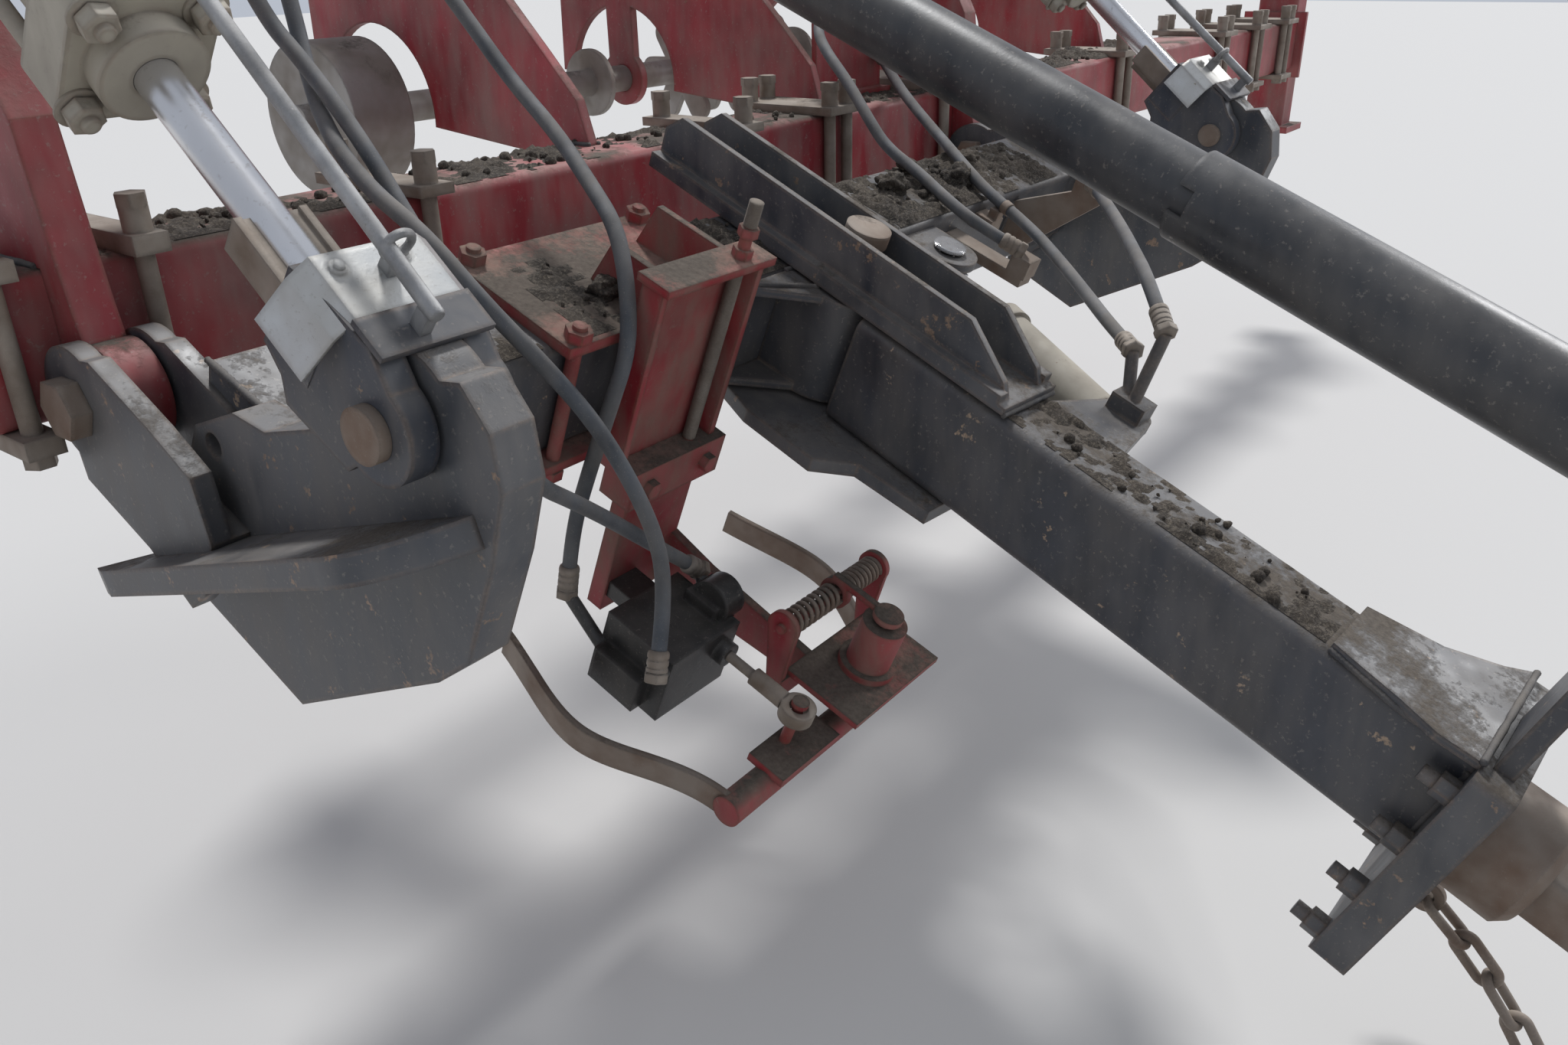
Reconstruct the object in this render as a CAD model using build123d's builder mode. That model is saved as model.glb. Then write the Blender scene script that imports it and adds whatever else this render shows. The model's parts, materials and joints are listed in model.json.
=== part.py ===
from build123d import *
import math
import os

os.makedirs("parts", exist_ok=True)

# Front hitch section of a towed root harvester. Sizes in mm.
# Row frame: origin on the toolbar's back face at mid height and mid length, +X along the
# toolbar, +Y rearward into the machine, +Z up.
# Hitch frame: x, forward f and up u from the hinge line. Drawbar frame: the same about the king pin.

# Driving sizes: main tubes
BAR = 178.0                # square toolbar and cross tube, outside
BAR_WALL = 12.0
BAR_CORNER = 14.0
BAR_HALF = 3644.0          # half length of the toolbar
RUN = 0.4                  # running fit round pins and tubes
GAP = 6.0                  # side room between parts that swing past each other

# Hinge line and rest pose
HINGE_Y, HINGE_Z = -255.0, -52.0
PITCH = math.radians(21.86)       # hitch frame nose down
YAW = math.radians(-4.06)         # drawbar swung to the machine's right

# Masts, hinge and lift pins
MAST_X = 1031.0
MAST_T = 50.0
EAR_T = 25.0
EAR_R = 70.0
HINGE_R = 25.0
PIN_R = 16.0
PIN_DRIFT = 12.0           # room round the lift pin, which drifts from its ear as the frame tilts
PIN_F, PIN_U = 486.0, 286.0
BASE_Y, BASE_Z = -84.0, 651.0

# End plates and cross tube of the hitch frame
PLATE_X = 1016.0
PLATE_T = 50.0
TUBE_F, TUBE_U = 183.0, 16.0
TUBE_HALF = 891.0
BOX_SIDE = 160.0

# King pin and drawbar
KING_X, KING_F = -57.0, 345.0
KING_R = 28.0
HOUSING_R = 79.0
DB_W, DB_H = 143.0, 187.0
DB_WALL = 10.0
DB_START, DB_END = 82.0, 1098.0
DB_CORNER = 20.0
TONGUE_T = 12.0
BELLY_T = 25.0
FLANGE_W, FLANGE_H = 298.0, 365.0
FLANGE_X = 33.0
FLANGE_T = 25.0
EYE_F, EYE_U, EYE_R = 1400.0, -40.0, 38.0

# Driveline above the drawbar
DRIVE_U = 485.0
SHAFT_R, SLEEVE_R = 53.0, 60.0
SHAFT_BACK, SHAFT_FRONT = -500.0, 700.0
SLEEVE_BACK, SLEEVE_FRONT = 430.0, 1290.0
STAND_F = 1110.0

# Lift and steering cylinders
LIFT_ROD_R, LIFT_BARREL_R, LIFT_HEAD = 22.0, 58.0, 146.0
STEER_X, STEER_F, STEER_U = 270.0, 340.0, 45.0
STEER_LUG_X, STEER_LUG_F = 190.0, 440.0
STEER_ROD_R, STEER_BARREL_R, STEER_PIN_R = 16.0, 42.0, 12.5
STEER_DRIFT = 12.0

# Toothed paddle shaft behind the toolbar
SHAFT_Y, SHAFT_Z = 520.0, 117.0
PADDLE_R = 30.0

# Row finder
FINDER_X = -400.0
COLUMN_F = 318.0
PIVOT_X, PIVOT_F = -265.0, 708.0
BAR_U = -378.0
HOSE_D = 22.0
FERRULE_R = 14.0           # crimped sleeve at a hose end
PIPE_R = 10.0              # steel elbow pipe between sleeve and port

cos_p, sin_p = math.cos(PITCH), math.sin(PITCH)
FWD = Vector(0, -cos_p, -sin_p)
UP = Vector(0, -sin_p, cos_p)
HINGE = Vector(0, HINGE_Y, HINGE_Z)
HP = Plane(origin=HINGE, x_dir=(1, 0, 0), z_dir=UP)


def hitch(x, f, u):
    # point of the hitch frame in the row frame
    return HINGE + Vector(x, 0, 0) + FWD * f + UP * u


def hitch_side(x):
    # side view of the hitch frame, sketch axes forward and up
    return Plane(origin=HINGE + Vector(x, 0, 0), x_dir=FWD, z_dir=(-1, 0, 0))


def row_side(x):
    # side view of the row frame, sketch axes Y and Z
    return Plane(origin=(x, 0, 0), x_dir=(0, 1, 0), z_dir=(1, 0, 0))


KING = hitch(KING_X, KING_F, 0)
DX = Vector(math.cos(YAW), math.sin(YAW) * cos_p, math.sin(YAW) * sin_p)
DB = Plane(origin=KING, x_dir=DX, z_dir=UP)      # drawbar frame, -y is forward
DBF = DB.y_dir * -1


def ahead(x, f, u):
    # looking forward, for placing pieces inside a builder on the hitch or drawbar plane
    return Plane(origin=(x, -f, u), x_dir=(1, 0, 0), z_dir=(0, -1, 0))


def drawbar_side(x):
    # side view of the drawbar frame, sketch axes forward and up
    return Plane(origin=KING + DX * x, x_dir=DBF, z_dir=DX * -1)


def drawbar_cross(f, u=0.0, x=0.0):
    # section across the drawbar at f, looking forward
    return Plane(origin=KING + DBF * f + UP * u + DX * x, x_dir=DX, z_dir=DBF)


def save(builder, label):
    builder.part.label = label
    export_step(builder.part, "parts/" + label + ".step")


# Hydraulic hoses: the points of each route in the row frame, frame end first
HOSES = {
    "hose_valve_a": [(-399, -105, 391), (-396, -182, 312), (-404, -268, 236), (-426, -375, 174), (-462, -470, 118),
                     (-499, -549, 78), (-528, -590, 12), (-541, -597, -68), (-556, -570, -146), (-562, -524, -248),
                     (-568, -484, -345), (-575, -475, -410)],
    "hose_valve_b": [(-620, -75, 410), (-632, -110, 340), (-662, -165, 262), (-702, -250, 196), (-723, -347, 143),
                     (-725, -450, 97), (-708, -520, 21), (-668, -565, -55), (-620, -603, -143), (-592, -640, -240),
                     (-577, -664, -330), (-598, -682, -402), (-620, -688, -458)],
    "hose_valve_c": [(-682, -75, 410), (-680, -112, 338), (-678, -190, 278), (-683, -288, 194), (-690, -374, 102),
                     (-709, -463, 29), (-734, -530, -4), (-748, -574, -60), (-749, -590, -132), (-718, -588, -200),
                     (-640, -576, -258), (-560, -562, -322), (-485, -563, -388), (-425, -569, -440)],
    "hose_cross_d": [(640, -62, 262), (585, -92, 240), (535, -150, 205), (488, -240, 150), (448, -312, 94),
                     (428, -368, 45), (414, -448, 8), (374, -538, -30), (364, -602, -62), (383, -652, -92)],
    "hose_cross_e": [(868, -72, 160), (820, -125, 138), (745, -205, 107), (660, -317, 63), (593, -413, 25),
                     (546, -482, -4), (520, -538, -34), (506, -588, -58)],
    "hose_drawbar_f": [(410, -748, -117), (290, -865, -144), (210, -940, -161), (163, -986, -169)],
    "hose_drawbar_g": [(600, -734, -32), (515, -795, -42), (400, -874, -56), (295, -940, -66), (192, -1003, -74),
                       (147, -1043, -109)],
}
FAR = -1                   # index of a hose's far end


def sleeve(name, end, length):
    # the crimped sleeve at one end of a hose goes straight on from the hose's end
    route = [Vector(p) for p in HOSES[name]]
    tip, inner = (route[-1], route[-2]) if end == FAR else (route[0], route[1])
    return tip, tip + (tip - inner).normalized() * length


# One hose runs on through a clip on the cross tube, in line with the stretch before it
CLIP_LEN, CLIP_RUN = 16.0, 65.0
HOSES["hose_drawbar_f"][:0] = [sleeve("hose_cross_e", FAR, CLIP_LEN + run)[1] for run in (0.0, CLIP_RUN)]

# Hexagon heads that the sub-parts below place where they sit
bolt_head = extrude(RegularPolygon(19, 6), amount=16)
hinge_head = extrude(RegularPolygon(37, 6), amount=24)
stud_nut = extrude(RegularPolygon(15, 6), amount=14)

# Toolbar and what is fixed to it

with BuildPart() as toolbar:
    with Locations((0, -BAR / 2, 0)):
        Box(2 * BAR_HALF, BAR, BAR)
    fillet(toolbar.edges().filter_by(Axis.X), BAR_CORNER)
    with Locations((0, -BAR / 2, 0)):
        Box(2 * BAR_HALF + 2, BAR - 2 * BAR_WALL, BAR - 2 * BAR_WALL, mode=Mode.SUBTRACT)
save(toolbar, "toolbar")

POST_W, POST_D, POST_LOW, POST_TOP = 120.0, 150.0, -330.0, 420.0
CAP_T = 20.0
with BuildPart() as end_posts:
    for side in (-1, 1):
        with Locations((side * (BAR_HALF + CAP_T / 2), -BAR / 2, 0)):
            Box(CAP_T, BAR + 60, BAR + 60)
        with BuildSketch(Plane.XY.offset(POST_LOW)):
            with Locations((side * (BAR_HALF + CAP_T + POST_W / 2), -BAR / 2)):
                RectangleRounded(POST_W, POST_D, 12)
                RectangleRounded(POST_W - 20, POST_D - 20, 4, mode=Mode.SUBTRACT)
        extrude(amount=POST_TOP - POST_LOW)
        with Locations((side * (BAR_HALF + CAP_T + POST_W / 2), -BAR / 2, POST_LOW + 12)):
            Box(POST_W + 70, POST_D + 70, 24)
save(end_posts, "end_posts")

# Long bolts that clamp the row units on: x along the bar, pitch of the pair
CLAMPS = [(-3464, 60), (-3145, 60), (-2791, 60), (-1970, 60), (-519, 0), (211, 0),
          (519, 60), (1970, 60), (2791, 60), (3145, 60), (3464, 60)]
BOLT_R, BOLT_OVER, CLAMP_PLATE, HEAD_H = 12.0, 30.0, 16.0, 16.0
bolt_at = [(x + dx, y) for x, pitch in CLAMPS for dx in {-pitch / 2, pitch / 2}
           for y in (-BAR - BOLT_R - 2, BOLT_R + 2)]
with BuildPart() as toolbar_clamps:
    for z in (BAR / 2, -BAR / 2 - CLAMP_PLATE):
        with BuildSketch(Plane.XY.offset(z)):
            for x, pitch in CLAMPS:
                with Locations((x, -BAR / 2)):
                    Rectangle(60 + pitch, BAR + 2 * (2 * BOLT_R + 14))
        extrude(amount=CLAMP_PLATE)
    with BuildSketch(Plane.XY.offset(-BAR / 2 - CLAMP_PLATE)):
        with Locations(*bolt_at):
            Circle(BOLT_R)
    extrude(amount=BAR + 2 * CLAMP_PLATE)
    with BuildSketch(Plane.XY.offset(BAR / 2 + CLAMP_PLATE)):
        with Locations(*bolt_at):
            Circle(BOLT_R + 5)
    extrude(amount=BOLT_OVER)
    for z in (BAR / 2 + CLAMP_PLATE + BOLT_OVER, -BAR / 2 - CLAMP_PLATE - HEAD_H):
        with BuildSketch(Plane.XY.offset(z)):
            with Locations(*bolt_at):
                RegularPolygon(19, 6)
        extrude(amount=HEAD_H)
save(toolbar_clamps, "toolbar_clamps")

# Side view of a mast: Y, Z
MAST_EDGE = [(-178, -89), (-262, -112), (-243, -19), (-230, 44), (-217, 130), (-202, 254), (-150, 347),
             (-112, 430), (-60, 523), (-128, 622), (-92, 700), (22, 640), (52, 300), (0, 89)]
with BuildPart() as masts:
    for side in (-1, 1):
        with BuildSketch(row_side(side * MAST_X)):
            with BuildLine():
                Polyline(*MAST_EDGE, close=True)
            make_face()
            with Locations((HINGE_Y, HINGE_Z)):
                Circle(EAR_R - 8)
            with Locations((BASE_Y, BASE_Z)):
                Circle(48)
            with Locations((HINGE_Y, HINGE_Z)):
                Circle(HINGE_R + RUN, mode=Mode.SUBTRACT)
            with Locations((BASE_Y, BASE_Z)):
                Circle(PIN_R + RUN, mode=Mode.SUBTRACT)
            with Locations((-BAR / 2, 0)):
                Rectangle(BAR, BAR, mode=Mode.SUBTRACT)
        extrude(amount=MAST_T / 2, both=True)
save(masts, "masts")

CLAMP_X = 88.0             # clamp bolts beside the mast, clear of the hinge ears
mast_bolts = [side * MAST_X + dx for side in (-1, 1) for dx in (-CLAMP_X, CLAMP_X)]
with BuildPart() as mast_clamps:
    with Locations((-MAST_X, 12, 0), (MAST_X, 12, 0)):
        Box(2 * CLAMP_X + 50, 24, BAR - 4)
    for z in (BAR / 2, -BAR / 2 - 24):
        with BuildSketch(Plane.XY.offset(z)):
            with Locations(*[(x, -BAR / 2 - 8) for x in mast_bolts]):
                Rectangle(44, BAR + 70)
        extrude(amount=24)
    with BuildSketch(Plane.XY.offset(-BAR / 2 - 40)):
        with Locations(*[(x, -BAR - 16) for x in mast_bolts]):
            Circle(BOLT_R)
    extrude(amount=BAR + 100)
    with BuildSketch(Plane.XY.offset(BAR / 2 + 24)):
        with Locations(*[(x, -BAR - 16) for x in mast_bolts]):
            Circle(BOLT_R + 5)
    extrude(amount=30)
    for z in (BAR / 2 + 54, -BAR / 2 - 40):
        with BuildSketch(Plane.XY.offset(z)):
            with Locations(*[(x, -BAR - 16) for x in mast_bolts]):
                RegularPolygon(19, 6)
        extrude(amount=HEAD_H)
save(mast_clamps, "mast_clamps")

HINGE_SPAN = MAST_T + 2 * GAP + 2 * EAR_T
with BuildPart() as hinge_bolts:
    for side in (-1, 1):
        with BuildSketch(row_side(side * MAST_X)):
            with Locations((HINGE_Y, HINGE_Z)):
                Circle(HINGE_R)
        extrude(amount=HINGE_SPAN / 2 + 8, both=True)
        for end in (-1, 1):
            with Locations(Plane(origin=(side * MAST_X + end * (HINGE_SPAN / 2 + RUN), HINGE_Y, HINGE_Z),
                                 x_dir=(0, 1, 0), z_dir=(end, 0, 0))):
                add(hinge_head)
save(hinge_bolts, "hinge_bolts")

EYE_T, EYE_SPAN = 22.0, 84.0      # two eyes at the foot of a lift barrel, and their spacing
with BuildPart() as base_pins:
    for side in (-1, 1):
        with BuildSketch(row_side(side * MAST_X)):
            with Locations((BASE_Y, BASE_Z)):
                Circle(PIN_R)
        extrude(amount=(EYE_SPAN + EYE_T) / 2 + 12, both=True)
        with BuildSketch(row_side(side * (MAST_X + (EYE_SPAN + EYE_T) / 2 + 1))):
            with Locations((BASE_Y, BASE_Z)):
                Circle(PIN_R + 10)
        extrude(amount=side * 14)
save(base_pins, "base_pins")

# Plates welded on the toolbar's back edge that carry the rear tube: x, hub round the shaft
FRAME_PLATES = [(-57, False), (640, True), (1370, False), (2100, True)]
REAR_Y, REAR_Z, REAR_R, REAR_WALL = 640.0, 560.0, 70.0, 8.0
CUT_R = 165.0
with BuildPart() as frame_plates:
    for x, hub in FRAME_PLATES:
        with BuildSketch(row_side(x)):
            with BuildLine():
                Polyline((-66, BAR / 2), (-42, 165), (30, 240), (115, 325), (330, 560), (620, 640), (700, 600),
                         (720, 130), (0, 60), (0, BAR / 2), close=True)
            make_face()
            with Locations((SHAFT_Y, SHAFT_Z)):
                Circle(CUT_R, mode=Mode.SUBTRACT)
            if hub:
                with Locations((SHAFT_Y, SHAFT_Z + CUT_R / 2)):
                    Rectangle(80, CUT_R + 30)
                with Locations((SHAFT_Y, SHAFT_Z)):
                    Circle(62)
                    Circle(PADDLE_R + RUN, mode=Mode.SUBTRACT)
        extrude(amount=10, both=True)
    with BuildSketch(row_side(-200)):
        with Locations((REAR_Y, REAR_Z)):
            Circle(REAR_R)
    extrude(amount=2500)
    with BuildSketch(row_side(-201)):
        with Locations((REAR_Y, REAR_Z)):
            Circle(REAR_R - REAR_WALL)
    extrude(amount=2502, mode=Mode.SUBTRACT)
save(frame_plates, "frame_plates")

# Bracket on the left mast's inner side that carries the hose unions
UNIONS = [-400.0, -620.0, -682.0]         # x of each union
ARM_TIP = -370.0
UNION_Y, UNION_Z, UNION_R = -60.0, 470.0, 15.0
ARM_END = -MAST_X + MAST_T / 2
BRACKET_SLEEVES = [sleeve("hose_valve_a", 0, 62), sleeve("hose_valve_b", 0, 46), sleeve("hose_valve_c", 0, 46)]
with BuildPart() as hose_bracket:
    with Locations(((ARM_END + ARM_TIP) / 2, UNION_Y, UNION_Z)):
        Box(ARM_TIP - ARM_END, 70, 10)
    with Locations(((ARM_END + ARM_TIP) / 2, UNION_Y + 30, UNION_Z + 30)):
        Box(ARM_TIP - ARM_END, 10, 60)
    for tip, root in BRACKET_SLEEVES:
        with BuildSketch(Plane(origin=tip, z_dir=root - tip)):
            Circle(FERRULE_R)
        extrude(amount=(root - tip).length)
    for x in UNIONS:
        with Locations((x, UNION_Y, UNION_Z)):
            Cylinder(UNION_R, 80)
        with Locations((x, UNION_Y, UNION_Z + 5), (x, UNION_Y, UNION_Z - 19)):
            add(stud_nut)
save(hose_bracket, "hose_bracket")

# Plate on the toolbar's left-hand side with the unions of the two hoses there
SIDE_SLEEVES = [sleeve("hose_cross_d", 0, 54), sleeve("hose_cross_e", 0, 50)]
with BuildPart() as side_unions:
    with Locations((786, -30, BAR / 2 + 106)):
        Box(252, 12, 212)
    with Locations((786, -45, BAR / 2 + 6)):
        Box(252, 42, 12)
    for tip, root in SIDE_SLEEVES:
        with BuildSketch(Plane(origin=tip, z_dir=root - tip)):
            Circle(FERRULE_R)
        extrude(amount=(root - tip).length)
save(side_unions, "side_unions")

# Paddle shaft: x of the round discs, then of the star paddles
DISCS = [521.0, 1316.0]
PADDLES = [850.0, 1010.0, 1170.0, 1700.0, 1860.0]
DRUM_R, DRUM_W, DRUM_WALL = 143.0, 130.0, 9.0
with BuildPart() as paddle_shaft:
    with BuildSketch(row_side(-260)):
        with Locations((SHAFT_Y, SHAFT_Z)):
            Circle(PADDLE_R)
    extrude(amount=2480)
    with BuildSketch(row_side(-230)):
        with Locations((SHAFT_Y, SHAFT_Z)):
            Circle(DRUM_R)
    extrude(amount=DRUM_W)
    with BuildSketch(row_side(-230 + DRUM_WALL)):
        with Locations((SHAFT_Y, SHAFT_Z)):
            Circle(DRUM_R - DRUM_WALL)
            Circle(PADDLE_R + 10, mode=Mode.SUBTRACT)
    extrude(amount=DRUM_W, mode=Mode.SUBTRACT)
    for x in DISCS:
        with BuildSketch(row_side(x)):
            with Locations((SHAFT_Y, SHAFT_Z)):
                Circle(75)
        extrude(amount=7, both=True)
    for x in PADDLES:
        with BuildSketch(row_side(x)):
            for k in range(3):
                with Locations(Location((SHAFT_Y, SHAFT_Z), 120 * k)):
                    SlotCenterToCenter(200, 60)
        extrude(amount=8, both=True)
save(paddle_shaft, "paddle_shaft")

# Hitch frame

with BuildPart(HP) as cross_tube:
    with Locations((0, -TUBE_F, TUBE_U)):
        Box(2 * TUBE_HALF, BAR, BAR)
    fillet(cross_tube.edges().filter_by(Axis.X), BAR_CORNER)
    with Locations((0, -TUBE_F, TUBE_U)):
        Box(2 * TUBE_HALF + 2, BAR - 2 * BAR_WALL, BAR - 2 * BAR_WALL, mode=Mode.SUBTRACT)
    for side in (-1, 1):
        with Locations((side * (TUBE_HALF + PLATE_X - PLATE_T / 2) / 2, -TUBE_F, TUBE_U)):
            Box(PLATE_X - PLATE_T / 2 - TUBE_HALF, BOX_SIDE, BOX_SIDE)
save(cross_tube, "cross_tube")

# Side view of an end plate: forward, up
PLATE_EDGE = [(178, -186), (150, -40), (146, 10), (158, 62), (225, 122), (281, 134), (347, 182), (403, 225),
              (430, 300), (543, 363), (586, 338), (612, 290), (616, 208), (609, 75), (575, 20), (369, -204)]
EAR_F, EAR_U, EAR_HOLE = 192.0, 56.0, 15.0
with BuildPart() as end_plates:
    for side in (-1, 1):
        with BuildSketch(hitch_side(side * PLATE_X)):
            with BuildLine():
                Polyline(*PLATE_EDGE, close=True)
            make_face()
            with Locations((PIN_F, PIN_U)):
                Circle(72)
            with Locations((PIN_F, PIN_U)):
                Circle(PIN_R + PIN_DRIFT, mode=Mode.SUBTRACT)
            with Locations((EAR_F, EAR_U)):
                Circle(EAR_HOLE, mode=Mode.SUBTRACT)
        extrude(amount=PLATE_T / 2, both=True)
save(end_plates, "end_plates")

# Side view of the straps that hang the end plate on the hinge: forward, up
STRAP_EDGE = [(-62, 32), (30, 78), (150, 64), (222, 50), (262, -16), (250, -100), (225, -140), (140, -112), (12, -100)]
with BuildPart() as hinge_ears:
    for side in (-1, 1):
        for dx in (-(MAST_T + EAR_T) / 2 - GAP, (MAST_T + EAR_T) / 2 + GAP):
            with BuildSketch(hitch_side(side * MAST_X + dx)):
                Circle(EAR_R)
                with BuildLine():
                    Polyline(*STRAP_EDGE, close=True)
                make_face()
                Circle(HINGE_R + RUN, mode=Mode.SUBTRACT)
            extrude(amount=EAR_T / 2, both=True)
        with BuildSketch(hitch_side(side * MAST_X)):
            with BuildLine():
                Polyline((172, -10), (262, -16), (250, -100), (172, -100), close=True)
            make_face()
        extrude(amount=MAST_T / 2 + GAP, both=True)
    add(end_plates.part, mode=Mode.SUBTRACT)
    add(cross_tube.part, mode=Mode.SUBTRACT)
save(hinge_ears, "hinge_ears")

# Rib along the outer face of each end plate, tapered at both ends
RIB_T, RIB_W, RIB_LEN = 32.0, 90.0, 655.0
RIB_ANGLE = 40.0
RIB_F, RIB_U = 92.0, -186.0
rib_dir = FWD * math.cos(math.radians(RIB_ANGLE)) + UP * math.sin(math.radians(RIB_ANGLE))
with BuildPart() as side_ribs:
    for side in (-1, 1):
        plate_face = side * (PLATE_X + PLATE_T / 2)
        rib_plane = Plane(origin=hitch(plate_face, RIB_F, RIB_U), x_dir=rib_dir, z_dir=rib_dir.cross(Vector(side, 0, 0)))
        with BuildSketch(rib_plane):
            with BuildLine():
                Polyline((118, 0), (-6, RIB_W - 14), (40, RIB_W), (520, RIB_W))
                ThreePointArc((520, RIB_W), (610, RIB_W * 0.72), (RIB_LEN, 0))
                Line((RIB_LEN, 0), (118, 0))
            make_face()
        extrude(amount=RIB_T / 2, both=True)
    add(hinge_ears.part, mode=Mode.SUBTRACT)
save(side_ribs, "side_ribs")

TUBE_TOP = TUBE_U + BAR / 2
TUBE_FOOT = TUBE_U - BAR / 2
TUBE_FACE = TUBE_F + BAR / 2
with BuildPart() as pivot_housing:
    with BuildSketch(HP.offset(TUBE_FOOT)):
        with Locations((KING_X, -KING_F)):
            Circle(HOUSING_R)
        with Locations((KING_X, -(TUBE_FACE + KING_F) / 2)):
            Rectangle(2 * HOUSING_R, KING_F - TUBE_FACE)
    extrude(amount=BAR)
    for u in (TUBE_TOP - 14, TUBE_FOOT):
        with BuildSketch(HP.offset(u)):
            with BuildLine():
                Polyline((KING_X - 190, -TUBE_FACE), (KING_X - 60, -KING_F - 20), (KING_X + 60, -KING_F - 20),
                         (KING_X + 150, -TUBE_FACE), close=True)
            make_face()
        extrude(amount=14)
    with BuildSketch(HP.offset(TUBE_FOOT - 1)):
        with Locations((KING_X, -KING_F)):
            Circle(KING_R)
    extrude(amount=BAR + 2, mode=Mode.SUBTRACT)
    add(cross_tube.part, mode=Mode.SUBTRACT)
save(pivot_housing, "pivot_housing")

BELLY_U = -82.0            # top of the drawbar's belly plate
TONGUE_U = TUBE_TOP + GAP  # foot of the drawbar's top tongue
CAP_U = 205.0
with BuildPart(HP) as king_pin:
    with BuildSketch(HP.offset(BELLY_U - BELLY_T - 14)):
        with Locations((KING_X, -KING_F)):
            Circle(KING_R)
    extrude(amount=CAP_U - 24 - BELLY_U + BELLY_T + 14)
    with BuildSketch(HP.offset(CAP_U - 24)):
        with Locations((KING_X, -KING_F)):
            Circle(KING_R + 8)
    extrude(amount=24)
save(king_pin, "king_pin")

# Drawbar

DB_TOP = TUBE_TOP
with BuildPart() as drawbar:
    with BuildSketch(drawbar_cross(DB_START, DB_TOP - DB_H / 2)):
        RectangleRounded(DB_W, DB_H, DB_CORNER)
        RectangleRounded(DB_W - 2 * DB_WALL, DB_H - 2 * DB_WALL, DB_CORNER - DB_WALL, mode=Mode.SUBTRACT)
    extrude(amount=DB_END - DB_START)
    with BuildSketch(drawbar_cross(DB_START, DB_TOP - DB_H / 2)):
        Rectangle(DB_W - 2 * DB_WALL, DB_H - 2 * DB_WALL)
    extrude(amount=DB_WALL)
save(drawbar, "drawbar")

# Channel on top of the drawbar: base plate over the pivot, two uprights, two edge strips
CHANNEL_BACK, CHANNEL_FRONT = -405.0, 345.0
UPRIGHT_X, UPRIGHT_T = 46.0, 12.0
STRIP_X, STRIP_W, STRIP_H = 62.0, 20.0, 25.0
UPRIGHT_TOP = 207.0
BASE_TOP = TONGUE_U + TONGUE_T
with BuildPart(DB) as king_channel:
    with Locations((0, -(CHANNEL_BACK + CHANNEL_FRONT + 14) / 2, TONGUE_U + TONGUE_T / 2)):
        Box(2 * STRIP_X + STRIP_W, CHANNEL_FRONT + 14 - CHANNEL_BACK, TONGUE_T)
    with Locations((0, -(DB_START + CHANNEL_FRONT) / 2, (DB_TOP + TONGUE_U) / 2)):
        Box(2 * STRIP_X, CHANNEL_FRONT - DB_START, TONGUE_U - DB_TOP)
    with Locations((-STRIP_X, -(CHANNEL_BACK + CHANNEL_FRONT) / 2, BASE_TOP + (STRIP_H - TONGUE_T) / 2),
                   (STRIP_X, -(CHANNEL_BACK + CHANNEL_FRONT) / 2, BASE_TOP + (STRIP_H - TONGUE_T) / 2)):
        Box(STRIP_W, CHANNEL_FRONT - CHANNEL_BACK, STRIP_H - TONGUE_T)
    for side in (-1, 1):
        with BuildSketch(drawbar_side(side * UPRIGHT_X)):
            with BuildLine():
                Polyline((CHANNEL_BACK, BASE_TOP), (CHANNEL_BACK, UPRIGHT_TOP - 30), (CHANNEL_BACK + 30, UPRIGHT_TOP),
                         (CHANNEL_FRONT - 100, UPRIGHT_TOP - 8), (CHANNEL_FRONT - 14, UPRIGHT_TOP - 62),
                         (CHANNEL_FRONT, BASE_TOP), close=True)
            make_face()
        extrude(amount=UPRIGHT_T / 2, both=True)
    with Locations((0, 0, BASE_TOP + 12)):
        Cylinder(KING_R + 10, 24)
    with Locations((0, 0, BASE_TOP)):
        Cylinder(KING_R + RUN, 80, mode=Mode.SUBTRACT)
save(king_channel, "king_channel")

# Plan of the belly plate under the pivot: x, forward
BELLY_EDGE = [(-150, -100), (-178, 10), (-174, 150), (-112, 196), (-98, 330), (98, 330), (112, 196), (174, 150),
              (178, 10), (150, -100)]
with BuildPart(DB) as belly_plate:
    with BuildSketch(DB.offset(BELLY_U - BELLY_T)):
        with BuildLine():
            Polyline(*[(x, -f) for x, f in BELLY_EDGE], close=True)
        make_face()
        Circle(KING_R + RUN, mode=Mode.SUBTRACT)
    extrude(amount=BELLY_T)
save(belly_plate, "belly_plate")

FLANGE_TOP = 107.0
with BuildPart() as front_flange:
    for k in range(2):
        with BuildSketch(drawbar_cross(DB_END + k * (FLANGE_T + 3), FLANGE_TOP - FLANGE_H / 2, FLANGE_X)):
            RectangleRounded(FLANGE_W, FLANGE_H, 10)
        extrude(amount=FLANGE_T + 3 * (1 - k))
    for x in (-FLANGE_W / 2 + 22, FLANGE_W / 2 - 22):
        for u in (60, -40, -140, -230):
            with BuildSketch(drawbar_cross(DB_END - 24, u, FLANGE_X + x)):
                RegularPolygon(18, 6)
            extrude(amount=24)
            with BuildSketch(drawbar_cross(DB_END - 44, u, FLANGE_X + x)):
                Circle(11)
            extrude(amount=20)
save(front_flange, "front_flange")

# Plan of the flared top gusset between drawbar and flange: x, forward
GUSSET_T = 12.0
with BuildPart(DB) as flange_gusset:
    with BuildSketch(DB.offset(DB_TOP)):
        with BuildLine():
            Polyline((-64, -888), (-72, -930), (-82, -988), (-96, -1040), (-92, -DB_END), (178, -DB_END), (140, -1060),
                     (92, -990), (64, -888), close=True)
        make_face()
    extrude(amount=GUSSET_T)
save(flange_gusset, "flange_gusset")

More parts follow.
